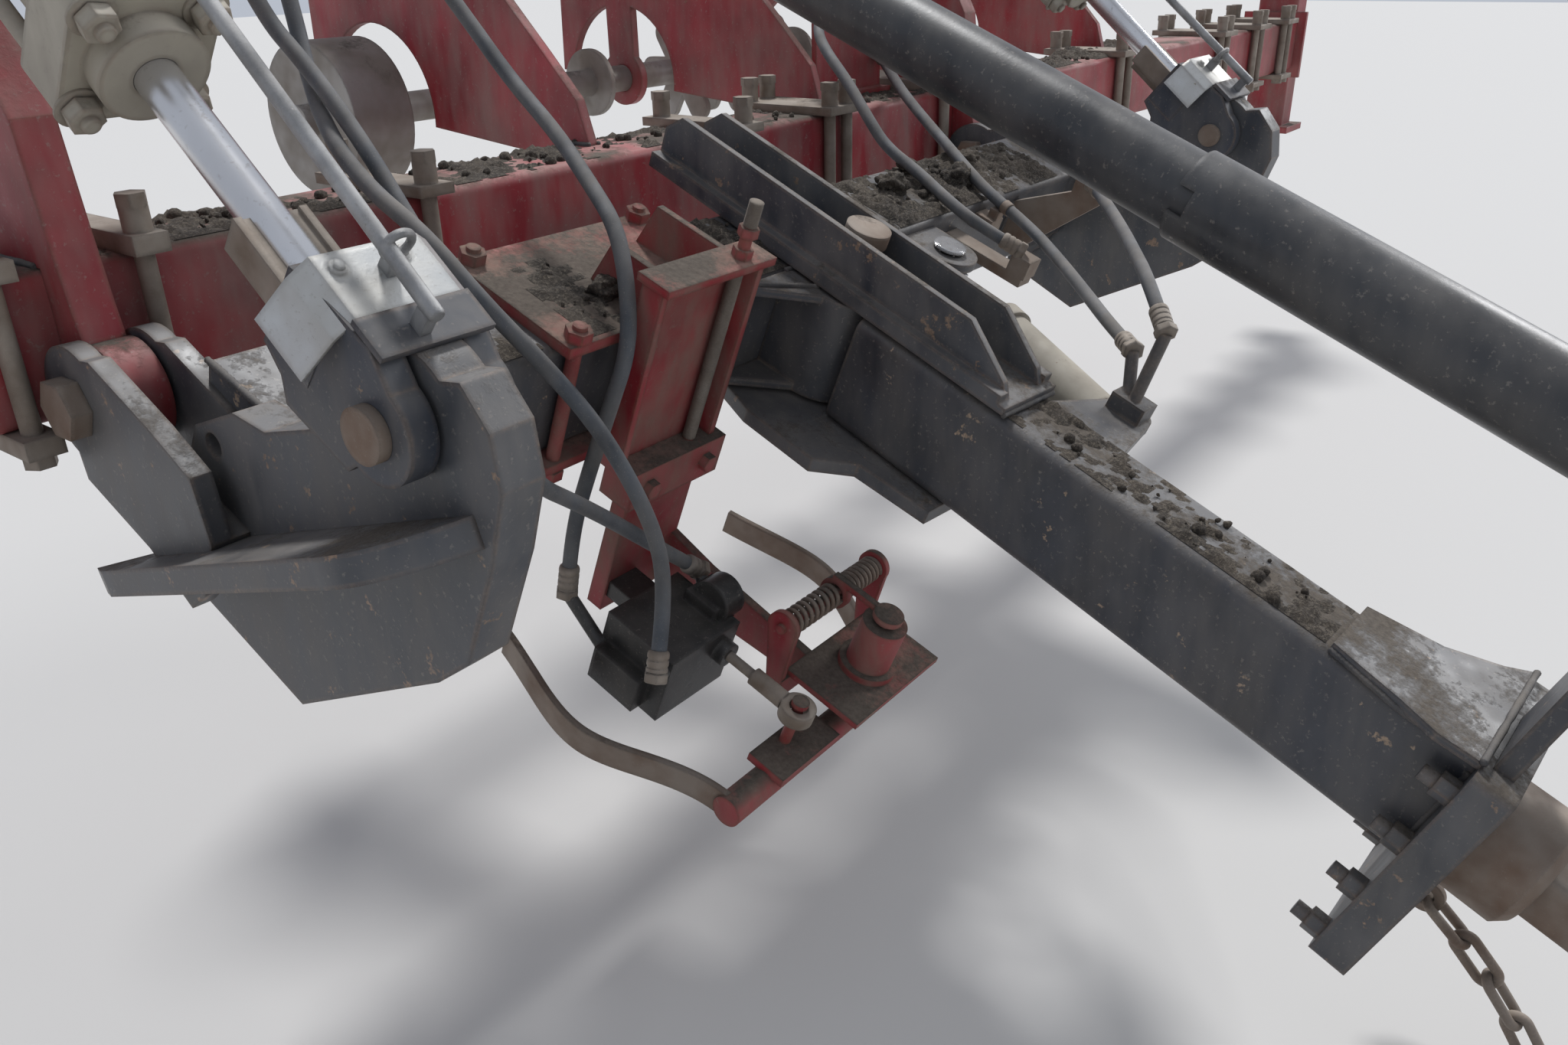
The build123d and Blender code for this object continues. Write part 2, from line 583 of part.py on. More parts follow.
HUB_F = DB_END + 2 * FLANGE_T + 3
with BuildPart(DB) as coupler:
    with BuildSketch(drawbar_cross(HUB_F, EYE_U, FLANGE_X)):
        Circle(88)
    extrude(amount=95)
    chamfer(coupler.edges().group_by(Axis(KING, DBF))[-1], 14)
    with BuildSketch(drawbar_cross(HUB_F + 95, EYE_U, FLANGE_X)):
        RectangleRounded(110, 76, 12)
    extrude(amount=EYE_F - HUB_F - 95 - 50)
    with Locations((FLANGE_X, -EYE_F, EYE_U)):
        Cylinder(82, 60)
        Cylinder(EYE_R, 62, mode=Mode.SUBTRACT)
save(coupler, "coupler")

# Safety chain: links in turn flat and upright, hung from a lug on the flange's foot, beside the pin's way
LINK_LEN, LINK_W, WIRE_R = 92.0, 45.0, 7.0
LINK_COUNT, DROOP, DROOP_STEP = 6, 18.0, 5.0
CHAIN_X, LUG_F, LUG_U, LUG_HOLE = 104.0, HUB_F + 30, -226.0, 12.5
bend_r = LINK_W / 2 - WIRE_R
half = (LINK_LEN - LINK_W) / 2
directions = [DBF * math.cos(math.radians(DROOP + DROOP_STEP * k)) - UP * math.sin(math.radians(DROOP + DROOP_STEP * k))
              for k in range(LINK_COUNT)]
with BuildPart() as safety_chain:
    with BuildSketch(drawbar_side(CHAIN_X)):
        with Locations((LUG_F, LUG_U)):
            Circle(26)
        with Locations(((HUB_F + LUG_F) / 2, LUG_U)):
            Rectangle(LUG_F - HUB_F, 52)
        with Locations((LUG_F, LUG_U)):
            Circle(LUG_HOLE, mode=Mode.SUBTRACT)
    extrude(amount=5, both=True)
    link_at = KING + DX * CHAIN_X + DBF * LUG_F + UP * LUG_U
    link_at += directions[0] * (LUG_HOLE - WIRE_R - 1.9 + LINK_LEN / 2 - WIRE_R)
    for k, along in enumerate(directions):
        if k > 0:
            link_at += (directions[k - 1] + along) * (LINK_LEN / 2 - 2 * WIRE_R - 0.15)
        link_plane = Plane(origin=link_at, x_dir=along, z_dir=DX if k % 2 else along.cross(DX))
        with BuildLine(link_plane) as link_path:
            Line((-half, bend_r), (half, bend_r))
            ThreePointArc((half, bend_r), (half + bend_r, 0), (half, -bend_r))
            Line((half, -bend_r), (-half, -bend_r))
            ThreePointArc((-half, -bend_r), (-half - bend_r, 0), (-half, bend_r))
        with BuildSketch(Plane(origin=link_path.wire() @ 0, z_dir=link_path.wire() % 0)):
            Circle(WIRE_R)
        sweep(path=link_path.wire())
save(safety_chain, "safety_chain")

# Driveline above the drawbar

YOKE_R = 17.0
with BuildPart() as driveline_shaft:
    with BuildSketch(drawbar_cross(SHAFT_BACK, DRIVE_U)):
        Circle(SHAFT_R)
    extrude(amount=SHAFT_FRONT - SHAFT_BACK)
    with BuildSketch(drawbar_cross(SHAFT_BACK - 34, DRIVE_U)):
        Circle(SHAFT_R + 12)
    extrude(amount=34)
    for side in (-1, 1):
        with BuildSketch(drawbar_side(side * 44)):
            with Locations((SHAFT_BACK - 78, DRIVE_U)):
                Circle(34)
            with Locations((SHAFT_BACK - 50, DRIVE_U)):
                Rectangle(56, 68)
            with Locations((SHAFT_BACK - 78, DRIVE_U)):
                Circle(YOKE_R, mode=Mode.SUBTRACT)
        extrude(amount=9, both=True)
save(driveline_shaft, "driveline_shaft")

with BuildPart() as driveline_sleeve:
    with BuildSketch(drawbar_cross(SLEEVE_BACK, DRIVE_U)):
        Circle(SLEEVE_R)
        Circle(SHAFT_R + RUN, mode=Mode.SUBTRACT)
    extrude(amount=SLEEVE_FRONT - SLEEVE_BACK)
    with BuildSketch(drawbar_cross(SLEEVE_FRONT, DRIVE_U)):
        Circle(SLEEVE_R + 8)
    extrude(amount=30)
    for side in (-1, 1):
        with BuildSketch(drawbar_side(side * 44)):
            with Locations((SLEEVE_FRONT + 78, DRIVE_U)):
                Circle(34)
            with Locations((SLEEVE_FRONT + 50, DRIVE_U)):
                Rectangle(56, 68)
            with Locations((SLEEVE_FRONT + 78, DRIVE_U)):
                Circle(YOKE_R, mode=Mode.SUBTRACT)
        extrude(amount=9, both=True)
    # the notch torn in the guard's rear rim
    with BuildSketch(drawbar_side(-SLEEVE_R)):
        with Locations((SLEEVE_BACK, DRIVE_U + 6)):
            Rectangle(44, 34)
    extrude(amount=24, both=True, mode=Mode.SUBTRACT)
save(driveline_sleeve, "driveline_sleeve")

STAND_W, STAND_T = 96.0, 26.0
with BuildPart() as driveline_stand:
    with BuildSketch(drawbar_cross(STAND_F, 0)):
        with BuildLine():
            Polyline((-STAND_W / 2 - 24, FLANGE_TOP), (-STAND_W / 2, DRIVE_U - 70), (STAND_W / 2, DRIVE_U - 70),
                     (STAND_W / 2 + 24, FLANGE_TOP), close=True)
        make_face()
        with Locations((0, DRIVE_U)):
            Circle(SLEEVE_R + 36)
            Circle(SLEEVE_R + RUN, mode=Mode.SUBTRACT)
    extrude(amount=STAND_T)
save(driveline_stand, "driveline_stand")

# Lift cylinders

PIN_AT = hitch(0, PIN_F, PIN_U)
LIFT_VEC = Vector(0, PIN_AT.Y - BASE_Y, PIN_AT.Z - BASE_Z)
LIFT_LEN = LIFT_VEC.length
LIFT_DIR = LIFT_VEC * (1 / LIFT_LEN)
print("lift cylinder pin to pin", round(LIFT_LEN, 1))

HEAD_LOW, HEAD_TOP = 77.0, 143.0          # cap block at the foot, along the cylinder
GLAND_LOW, GLAND_TOP = 442.0, 506.0       # head block at the gland
RING_TOP = 532.0
ROD_TAIL, ROD_END = 352.0, 855.0
ARM_X, ARM_T = 46.0, 30.0                 # clevis arms each side of the end plate
COLLAR_LOW, COLLAR_LEN = 718.0, 85.0     # half-round stroke collar round the right rod
for side, name in ((-1, "left"), (1, "right")):
    lift_plane = Plane(origin=(side * MAST_X, BASE_Y, BASE_Z), x_dir=(1, 0, 0), z_dir=LIFT_DIR)
    with BuildPart(lift_plane) as barrel:
        with BuildSketch(lift_plane.offset(HEAD_LOW)):
            RectangleRounded(LIFT_HEAD, LIFT_HEAD, 18)
        extrude(amount=HEAD_TOP - HEAD_LOW)
        with BuildSketch(lift_plane.offset(HEAD_TOP)):
            Circle(LIFT_BARREL_R)
            with GridLocations(LIFT_HEAD - 38, LIFT_HEAD - 38, 2, 2):
                Circle(9)
        extrude(amount=GLAND_LOW - HEAD_TOP)
        with BuildSketch(lift_plane.offset(GLAND_LOW)):
            RectangleRounded(LIFT_HEAD, LIFT_HEAD, 18)
        extrude(amount=GLAND_TOP - GLAND_LOW)
        with BuildSketch(lift_plane.offset(GLAND_TOP)):
            Circle(54)
        extrude(amount=RING_TOP - GLAND_TOP)
        for x in (-EYE_SPAN / 2, EYE_SPAN / 2):
            with Locations((x, 0, 38)):
                Box(EYE_T, 76, 78)
            with Locations((x, 0, 0)):
                Cylinder(38, EYE_T, rotation=(0, 90, 0))
        with Locations((0, 0, 0)):
            Cylinder(PIN_R + RUN, 200, rotation=(0, 90, 0), mode=Mode.SUBTRACT)
        with BuildSketch(lift_plane.offset(RING_TOP + 1)):
            Circle(LIFT_ROD_R + RUN)
        extrude(amount=-(RING_TOP + 1 - HEAD_TOP - 12), mode=Mode.SUBTRACT)
    save(barrel, "lift_barrel_" + name)
    with BuildPart() as rod:
        with BuildSketch(lift_plane.offset(ROD_TAIL)):
            Circle(LIFT_ROD_R)
        extrude(amount=ROD_END - ROD_TAIL)
    save(rod, "lift_rod_" + name)
    tip_plane = Plane(origin=(side * PLATE_X, PIN_AT.Y, PIN_AT.Z), x_dir=(1, 0, 0), z_dir=LIFT_DIR)
    with BuildPart(tip_plane) as clevis:
        with BuildSketch(tip_plane.offset(-145)):
            RectangleRounded(124, 92, 10)
        extrude(amount=62)
        for x in (-ARM_X, ARM_X):
            with BuildSketch(Plane(origin=tip_plane.origin + Vector(x, 0, 0), x_dir=LIFT_DIR, z_dir=(1, 0, 0))):
                Circle(52)
                with BuildLine():
                    Polyline((0, -52), (-38, -69), (-97, -62), (-150, -50), (-150, 50), (-117, 62), (-99, 84),
                             (-6, 69), (0, 52), close=True)
                make_face()
                Circle(PIN_R, mode=Mode.SUBTRACT)
            extrude(amount=ARM_T / 2, both=True)
        with BuildSketch(tip_plane.offset(-152)):
            with Locations((-side * (PLATE_X - MAST_X), 0)):
                Circle(LIFT_ROD_R)
        extrude(amount=72, mode=Mode.SUBTRACT)
    save(clevis, "rod_clevis_" + name)
    with BuildPart() as pin:
        with BuildSketch(row_side(side * PLATE_X)):
            with Locations((PIN_AT.Y, PIN_AT.Z)):
                Circle(PIN_R)
        extrude(amount=ARM_X + ARM_T / 2 + 8, both=True)
        with BuildSketch(row_side(side * (PLATE_X + ARM_X + ARM_T / 2 + 0.5))):
            with Locations((PIN_AT.Y, PIN_AT.Z)):
                Circle(27)
        extrude(amount=side * 13)
        with BuildSketch(row_side(side * (PLATE_X - ARM_X - ARM_T / 2 - 0.5))):
            with Locations((PIN_AT.Y, PIN_AT.Z)):
                Circle(22)
        extrude(amount=-side * 7)
    save(pin, "lift_pin_" + name)
    with BuildPart(lift_plane) as collar:
        with BuildSketch(lift_plane.offset(COLLAR_LOW)):
            Circle(LIFT_ROD_R + 13)
            Circle(LIFT_ROD_R, mode=Mode.SUBTRACT)
            with Locations((0, 40)):
                Rectangle(120, 60, mode=Mode.SUBTRACT)
            with Locations((0, -40)):
                Rectangle(10, 14)
        extrude(amount=COLLAR_LEN)
        for x in (-34, 34):
            with Locations((x * 0.98, -6, COLLAR_LOW + COLLAR_LEN / 2)):
                Box(8, 40, COLLAR_LEN)
    save(collar, "stroke_collar_" + name)

# Steering cylinder: barrel on the drawbar's lug, rod eye on the hitch frame

STEER_PIN = hitch(STEER_X, STEER_F, STEER_U)
STEER_EYE = KING + DX * STEER_LUG_X + DBF * STEER_LUG_F + UP * STEER_U
STEER_VEC = STEER_PIN - STEER_EYE
STEER_LEN = STEER_VEC.length
STEER_DIR = STEER_VEC * (1 / STEER_LEN)
print("steering cylinder pin to pin", round(STEER_LEN, 1))
steer_plane = Plane(origin=STEER_EYE, x_dir=UP, z_dir=STEER_DIR)     # x up, z along the cylinder
SPIN_H = 44.0              # height of the cylinder's eyes
LUG_T = 16.0
LUG_GAP = 8.0

with BuildPart(HP) as steer_bracket:
    for u in (STEER_U + SPIN_H / 2 + LUG_GAP + LUG_T / 2, STEER_U - SPIN_H / 2 - LUG_GAP - LUG_T / 2):
        with Locations((STEER_X, -(TUBE_FACE + STEER_F) / 2, u)):
            Box(110, STEER_F - TUBE_FACE, LUG_T)
        with Locations((STEER_X, -STEER_F, u)):
            Cylinder(55, LUG_T)
            Cylinder(STEER_PIN_R + STEER_DRIFT, LUG_T + 2, mode=Mode.SUBTRACT)
save(steer_bracket, "steer_bracket")

# Sleeves and elbow pipes on the block that stands on the lug: from, to, radius
LUG_PIPES = [(*sleeve("hose_drawbar_f", FAR, 48), FERRULE_R), (Vector(131, -1016, -176), Vector(107, -1026, -240), PIPE_R),
             (*sleeve("hose_drawbar_g", FAR, 52), FERRULE_R), (Vector(115, -1071, -135), Vector(96, -1040, -242), PIPE_R)]
with BuildPart(DB) as drawbar_lug:
    for u in (STEER_U + SPIN_H / 2 + LUG_GAP + LUG_T / 2, STEER_U - SPIN_H / 2 - LUG_GAP - LUG_T / 2):
        with BuildSketch(DB.offset(u - LUG_T / 2)):
            with BuildLine():
                Polyline((DB_W / 2, -STEER_LUG_F + 86), (STEER_LUG_X, -STEER_LUG_F + 40),
                         (STEER_LUG_X, -STEER_LUG_F - 40), (DB_W / 2, -STEER_LUG_F - 60), close=True)
            make_face()
            with Locations((STEER_LUG_X, -STEER_LUG_F)):
                Circle(40)
        extrude(amount=LUG_T)
    with Locations((STEER_LUG_X, -STEER_LUG_F, STEER_U)):
        Cylinder(STEER_PIN_R, SPIN_H + 2 * LUG_GAP + 2 * LUG_T + 24)
    with Locations((STEER_LUG_X, -STEER_LUG_F, STEER_U + SPIN_H / 2 + LUG_GAP + LUG_T + 14)):
        Box(44, 60, 28)
    for start, end, radius in LUG_PIPES:
        with BuildSketch(Plane(origin=start, z_dir=end - start)):
            Circle(radius)
        extrude(amount=(end - start).length)
save(drawbar_lug, "drawbar_lug")

BARREL_END = 316.0
with BuildPart(steer_plane) as steer_barrel:
    with BuildSketch(steer_plane.offset(44)):
        Circle(STEER_BARREL_R)
    extrude(amount=BARREL_END - 44)
    with BuildSketch(steer_plane.offset(BARREL_END - 36)):
        Circle(STEER_BARREL_R + 6)
    extrude(amount=30)
    with Locations((0, 0, 32)):
        Box(SPIN_H, 56, 40)
    with Locations((0, 0, 0)):
        Cylinder(29, SPIN_H, rotation=(0, 90, 0))
        Cylinder(STEER_PIN_R + RUN, SPIN_H + 2, rotation=(0, 90, 0), mode=Mode.SUBTRACT)
    with BuildSketch(steer_plane.offset(BARREL_END + 1)):
        Circle(STEER_ROD_R + RUN)
    extrude(amount=-(BARREL_END + 1 - 70), mode=Mode.SUBTRACT)
save(steer_barrel, "steer_barrel")

with BuildPart(steer_plane) as steer_rod:
    with BuildSketch(steer_plane.offset(200)):
        Circle(STEER_ROD_R)
    extrude(amount=STEER_LEN - 200 - 40)
    with Locations((0, 0, STEER_LEN - 30)):
        Box(SPIN_H, 46, 34)
    with Locations((0, 0, STEER_LEN)):
        Cylinder(29, SPIN_H, rotation=(0, 90, 0))
        Cylinder(STEER_PIN_R, SPIN_H + 2 * LUG_GAP + 2 * LUG_T + 18, rotation=(0, 90, 0))
    for x in (-1, 1):
        with Locations((x * (SPIN_H / 2 + LUG_GAP + LUG_T + 7.5), 0, STEER_LEN)):
            Cylinder(30, 5, rotation=(0, 90, 0))
save(steer_rod, "steer_rod")

# Hose unions on the cross tube's front: a clip, an arm and an upright plate
with BuildPart(HP) as union_brackets:
    with Locations((502, -(TUBE_FACE + 20), 74)):
        Box(44, 40, 30)
    with Locations((505, -(TUBE_FACE + 30), 96)):
        Box(24, 20, 22)
    with Locations((404, -(TUBE_FACE + 88), 56)):
        Box(44, 176, 20)
    with Locations((404, -(TUBE_FACE + 160), 80)):
        Box(44, 40, 36)
    with BuildSketch(hitch_side(650)):
        with BuildLine():
            Polyline((TUBE_FACE, 0), (TUBE_FACE, 84), (376, 158), (372, 212), (436, 214), (438, 160), (330, 14), close=True)
        make_face()
    extrude(amount=12, both=True)
    for start, end, radius in [(*sleeve("hose_cross_e", FAR, CLIP_LEN), FERRULE_R - 1), (*sleeve("hose_cross_d", FAR, 46), FERRULE_R),
                               (*sleeve("hose_drawbar_g", 0, 50), FERRULE_R)]:
        with BuildSketch(Plane(origin=start, z_dir=end - start)):
            Circle(radius)
        extrude(amount=(end - start).length)
save(union_brackets, "union_brackets")

# Row finder on the cross tube

CLAMP_F = (TUBE_F - BAR / 2 - BOLT_R - 3, TUBE_FACE + BOLT_R + 1)
with BuildPart(HP) as finder_mount:
    for u in (TUBE_TOP + 8, TUBE_FOOT - 8):
        with Locations((FINDER_X - 40, -(CLAMP_F[0] + CLAMP_F[1]) / 2, u)):
            Box(370, CLAMP_F[1] - CLAMP_F[0] + 2 * BOLT_R + 4, 16)
    for f in CLAMP_F:
        for x in (FINDER_X - 200, FINDER_X + 120):
            with Locations((x, -f, TUBE_U)):
                Cylinder(BOLT_R - 2, BAR + 76)
            with Locations((x, -f, TUBE_TOP + 16)):
                add(bolt_head)
            with Locations((x, -f, TUBE_FOOT - 32)):
                add(bolt_head)
    for x, back in ((-469, 180), (-325, 128)):
        with BuildSketch(hitch_side(x)):
            with BuildLine():
                Polyline((back, TUBE_TOP + 16), (back + 24, 190), (300, 190), (300, TUBE_TOP + 16), close=True)
            make_face()
        extrude(amount=6, both=True)
save(finder_mount, "finder_mount")

COLUMN_LOW, COLUMN_TOP = -105.0, 196.0
with BuildPart(HP) as finder_column:
    with Locations((-410, -306, (COLUMN_LOW + COLUMN_TOP) / 2)):
        Box(212, 12, COLUMN_TOP - COLUMN_LOW)
    for x in (-483, -332):
        with Locations((x, -306, 20)):
            Box(20, 14, 120, mode=Mode.SUBTRACT)
    for x in (-510, -310):
        with Locations((x, -324, (COLUMN_LOW + COLUMN_TOP) / 2)):
            Box(12, 28, COLUMN_TOP - COLUMN_LOW)
    with Locations((-410, -322, COLUMN_TOP + 6)):
        Box(224, 56, 12)
    with Locations((-350, -326, (COLUMN_LOW + 266) / 2)):
        Cylinder(9, 266 - COLUMN_LOW)
    with Locations((-350, -326, COLUMN_TOP + 12)):
        add(stud_nut)
    with Locations((-350, -326, COLUMN_TOP + 44)):
        add(stud_nut)
save(finder_column, "finder_column")

SHANK_LOW = -405.0
with BuildPart(HP) as finder_shank:
    with Locations((-390, -322, -140)):
        Box(200, 60, 70)
    with Locations((-392, -318, (SHANK_LOW - 175) / 2)):
        Box(150, 30, -175 - SHANK_LOW)
    with BuildSketch(hitch_side(-322)):
        with BuildLine():
            Polyline((306, -300), (420, -318), (635, -332), (635, -385), (400, -405), (306, SHANK_LOW), close=True)
        make_face()
    extrude(amount=8, both=True)
    for x in (-455, -329):
        with Locations(ahead(x, 352, -140)):
            add(stud_nut)
save(finder_shank, "finder_shank")

HOUSE_U, HOUSE_T = -330.0, 10.0
SPRING_F, SPRING_U = 612.0, -250.0
with BuildPart(HP) as finder_head:
    with Locations((-264, -705, HOUSE_U - HOUSE_T / 2)):
        Box(234, 140, HOUSE_T)
    with Locations((-275, -640, HOUSE_U - 32)):
        Box(252, 10, 46)
    with Locations((PIVOT_X, -PIVOT_F, HOUSE_U + 6)):
        Cylinder(47, 12)
    with Locations((PIVOT_X, -PIVOT_F, HOUSE_U + 50)):
        Cylinder(36, 88)
    with Locations((PIVOT_X, -PIVOT_F, HOUSE_U + 30)):
        Cylinder(14.4, 140, mode=Mode.SUBTRACT)
    for x in (-396, -154):
        with BuildSketch(hitch_side(x)):
            with Locations((SPRING_F, SPRING_U)):
                Circle(27)
            with BuildLine():
                Polyline((SPRING_F - 24, SPRING_U - 12), (622, HOUSE_U - 40), (645, HOUSE_U - 40), (SPRING_F + 26, SPRING_U),
                         close=True)
            make_face()
        extrude(amount=5, both=True)
    with BuildSketch(hitch_side(-275)):
        with Locations((SPRING_F, SPRING_U)):
            Circle(8)
    extrude(amount=132, both=True)
save(finder_head, "finder_head")

VALVE_X, VALVE_F, VALVE_U = -500.0, 490.0, -330.0
LINK_F = 575.0
LINK_X, LINK_U = -455.0, -310.0
# Sleeves and elbow pipes of the three hoses on the valve: from, to, radius
VALVE_PIPES = [(*sleeve("hose_valve_a", FAR, 50), FERRULE_R),
               (Vector(-580, -470, -452), hitch(-574, 440, -345), PIPE_R),
               (*sleeve("hose_valve_b", FAR, 42), FERRULE_R),
               (Vector(-634, -692, -490), hitch(-566, 540, -300), PIPE_R),
               (*sleeve("hose_valve_c", FAR, 40), FERRULE_R),
               (Vector(-399, -571.5, -462), hitch(-420, 485, -285), PIPE_R)]
with BuildPart(HP) as finder_valve:
    with Locations((VALVE_X, -VALVE_F, VALVE_U)):
        Box(150, 130, 120)
    with Locations((VALVE_X - 55, -VALVE_F + 10, VALVE_U - 20)):
        Box(90, 90, 60)
    with Locations(ahead(LINK_X, VALVE_F + 65, LINK_U)):
        Cylinder(20, 18, align=(Align.CENTER, Align.CENTER, Align.MIN))
    with Locations((-432, -VALVE_F - 20, VALVE_U + 78)):
        Cylinder(34, 40, rotation=(0, 90, 0))
    with Locations((-432, -VALVE_F - 10, VALVE_U + 50)):
        Box(60, 60, 60)
    with Locations((-432, -(333 + VALVE_F - 60) / 2, VALVE_U - 30)):
        Box(60, VALVE_F - 60 - 333, 30)
    for start, end, radius in VALVE_PIPES:
        with BuildSketch(Plane(origin=start, z_dir=end - start)):
            Circle(radius)
        extrude(amount=(end - start).length)
    with Locations(ahead(LINK_X, VALVE_F - 70, LINK_U)):
        Cylinder(8.4, 160, align=(Align.CENTER, Align.CENTER, Align.MIN), mode=Mode.SUBTRACT)
save(finder_valve, "finder_valve")

STUD_F = 707.0
with BuildPart(HP) as valve_link:
    with Locations(ahead(LINK_X, VALVE_F - 20, LINK_U)):
        Cylinder(8, STUD_F - 40 - VALVE_F + 20, align=(Align.CENTER, Align.CENTER, Align.MIN))
    with Locations(ahead(LINK_X, 622, LINK_U)):
        Cylinder(14, 60, align=(Align.CENTER, Align.CENTER, Align.MIN))
    with Locations((LINK_X, -STUD_F, LINK_U)):
        Cylinder(27, 22)
        Cylinder(15, 24, mode=Mode.SUBTRACT)
save(valve_link, "valve_link")

BAR_F, BAR_R = 725.0, 24.0
BAR_AXIS = -408.0
with BuildPart(HP) as feeler_arm:
    with Locations((PIVOT_X, -PIVOT_F, -300)):
        Cylinder(14, 150)
    with Locations((PIVOT_X, -PIVOT_F, -222)):
        Cylinder(24, 10)
    with Locations(Plane(origin=(-370, -BAR_F, BAR_AXIS), x_dir=(0, 0, 1), z_dir=(1, 0, 0))):
        Cylinder(BAR_R, 460)
    with Locations((PIVOT_X, -PIVOT_F, -378)):
        Cylinder(40, 16)
    with Locations((-447, -722, -381)):
        Box(143, 66, 14)
    with Locations((LINK_X, -STUD_F, -341)):
        Cylinder(9, 90)
    with Locations((LINK_X, -STUD_F, -292)):
        Cylinder(13, 8)
    with BuildSketch(hitch_side(-262)):
        with Locations((SPRING_F, SPRING_U)):
            Circle(26)
        with BuildLine():
            Polyline((600, -240), (600, -219), (702, -219), (702, -229), (632, -229), (628, -240), close=True)
        make_face()
        with Locations((SPRING_F, SPRING_U)):
            Circle(17, mode=Mode.SUBTRACT)
    extrude(amount=6, both=True)
save(feeler_arm, "feeler_arm")

# Plan of a feeler blade: x, forward
BLADE_T, BLADE_H = 10.0, 44.0
BLADE = [(-590, 725), (-629, 601), (-672, 505), (-657, 392), (-632, 298)]
with BuildPart() as feeler_blades:
    for mirror in (-1, 1):
        edge = [(-370 - mirror * (x + 370), f) for x, f in BLADE] if mirror > 0 else BLADE
        with BuildSketch(HP.offset(BAR_AXIS - BLADE_H / 2)):
            with BuildLine():
                blade_line = Spline(*[(x, -f) for x, f in edge])
            trace(blade_line, line_width=BLADE_T)
        extrude(amount=BLADE_H)
    add(feeler_arm.part, mode=Mode.SUBTRACT)
save(feeler_blades, "feeler_blades")



def bend_radii(points):
    # each arc is as large as the two runs beside it allow
    runs = [b - a for a, b in zip(points, points[1:])]
    return [0.45 * min(a.length, b.length) / math.tan(math.radians(a.get_angle(b)) / 2)
            for a, b in zip(runs, runs[1:])]


for name, route in HOSES.items():
    points = [Vector(p) for p in route]
    radii = bend_radii(points)
    with BuildPart() as hose:
        with BuildLine() as path:
            FilletPolyline(*points, radius=radii)
        with BuildSketch(Plane(origin=points[0], z_dir=points[1] - points[0])):
            Circle(HOSE_D / 2)
        sweep(path=path.wire())
    length = path.wire().length
    print(name, "length", round(length), "least radius", round(min(radii)),
          "volume ratio", round(hose.part.volume / (math.pi * HOSE_D ** 2 / 4 * length), 4))
    save(hose, name)
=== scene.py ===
import json
import math

import bmesh
import bpy
from mathutils import Matrix, Vector, noise


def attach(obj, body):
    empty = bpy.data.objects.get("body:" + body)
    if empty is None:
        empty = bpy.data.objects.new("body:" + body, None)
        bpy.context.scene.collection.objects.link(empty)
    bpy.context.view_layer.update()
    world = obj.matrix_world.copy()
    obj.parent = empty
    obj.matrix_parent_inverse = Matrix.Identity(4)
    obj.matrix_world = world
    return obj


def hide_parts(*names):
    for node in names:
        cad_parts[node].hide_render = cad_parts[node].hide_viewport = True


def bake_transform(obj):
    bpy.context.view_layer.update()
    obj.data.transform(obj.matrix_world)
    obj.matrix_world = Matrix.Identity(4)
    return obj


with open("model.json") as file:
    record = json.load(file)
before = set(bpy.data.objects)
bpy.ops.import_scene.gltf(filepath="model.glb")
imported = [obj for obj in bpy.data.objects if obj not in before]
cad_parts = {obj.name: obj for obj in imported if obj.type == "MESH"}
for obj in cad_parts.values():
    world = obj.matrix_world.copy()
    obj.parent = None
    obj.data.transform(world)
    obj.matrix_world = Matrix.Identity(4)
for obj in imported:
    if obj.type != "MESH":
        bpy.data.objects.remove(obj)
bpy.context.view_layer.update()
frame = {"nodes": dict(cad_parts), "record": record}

bl_info = {
    "name": "Beet harvester front hitch",
    "version": (1, 0, 0),
    "blender": (4, 5, 0),
    "location": "View3D > Sidebar > Hitch",
    "description": "Paint, soil, hoses and springs for the front hitch of a towed beet harvester",
    "category": "Object",
}

# Hitch frame: x, forward and up from the hinge line, in metres in the row frame
HINGE = Vector((0.0, -0.255, -0.052))
TILT = math.radians(21.86)
AHEAD = Vector((0.0, -math.cos(TILT), -math.sin(TILT)))
ABOVE = Vector((0.0, -math.sin(TILT), math.cos(TILT)))
SWING = math.radians(-4.06)
ACROSS = Vector((math.cos(SWING), math.sin(SWING) * math.cos(TILT), math.sin(SWING) * math.sin(TILT)))
ALONG = ACROSS.cross(ABOVE)


def hitch(x, f, u):
    """A point of the hitch frame, sizes in millimetres, in the row frame in metres."""
    return HINGE + Vector((x / 1000, 0, 0)) + AHEAD * (f / 1000) + ABOVE * (u / 1000)


KING = hitch(-57, 345, 0)


def drawbar(x, f, u):
    """A point of the drawbar frame, sizes in millimetres, in the row frame in metres."""
    return KING + ACROSS * (x / 1000) + ALONG * (f / 1000) + ABOVE * (u / 1000)


# Node groups that several finishes share

def new_group(name, inputs, outputs):
    group = bpy.data.node_groups.new(name, "ShaderNodeTree")
    for label, kind, default in inputs:
        socket = group.interface.new_socket(label, in_out="INPUT", socket_type=kind)
        socket.default_value = default
    for label, kind in outputs:
        group.interface.new_socket(label, in_out="OUTPUT", socket_type=kind)
    start = group.nodes.new("NodeGroupInput")
    end = group.nodes.new("NodeGroupOutput")
    return group, start, end


def math_node(tree, operation, a, b=None, clamp=False):
    node = tree.nodes.new("ShaderNodeMath")
    node.operation = operation
    node.use_clamp = clamp
    for socket, value in zip(node.inputs, (a, b)):
        if value is None:
            continue
        if isinstance(value, (int, float)):
            socket.default_value = value
        else:
            tree.links.new(value, socket)
    return node.outputs[0]


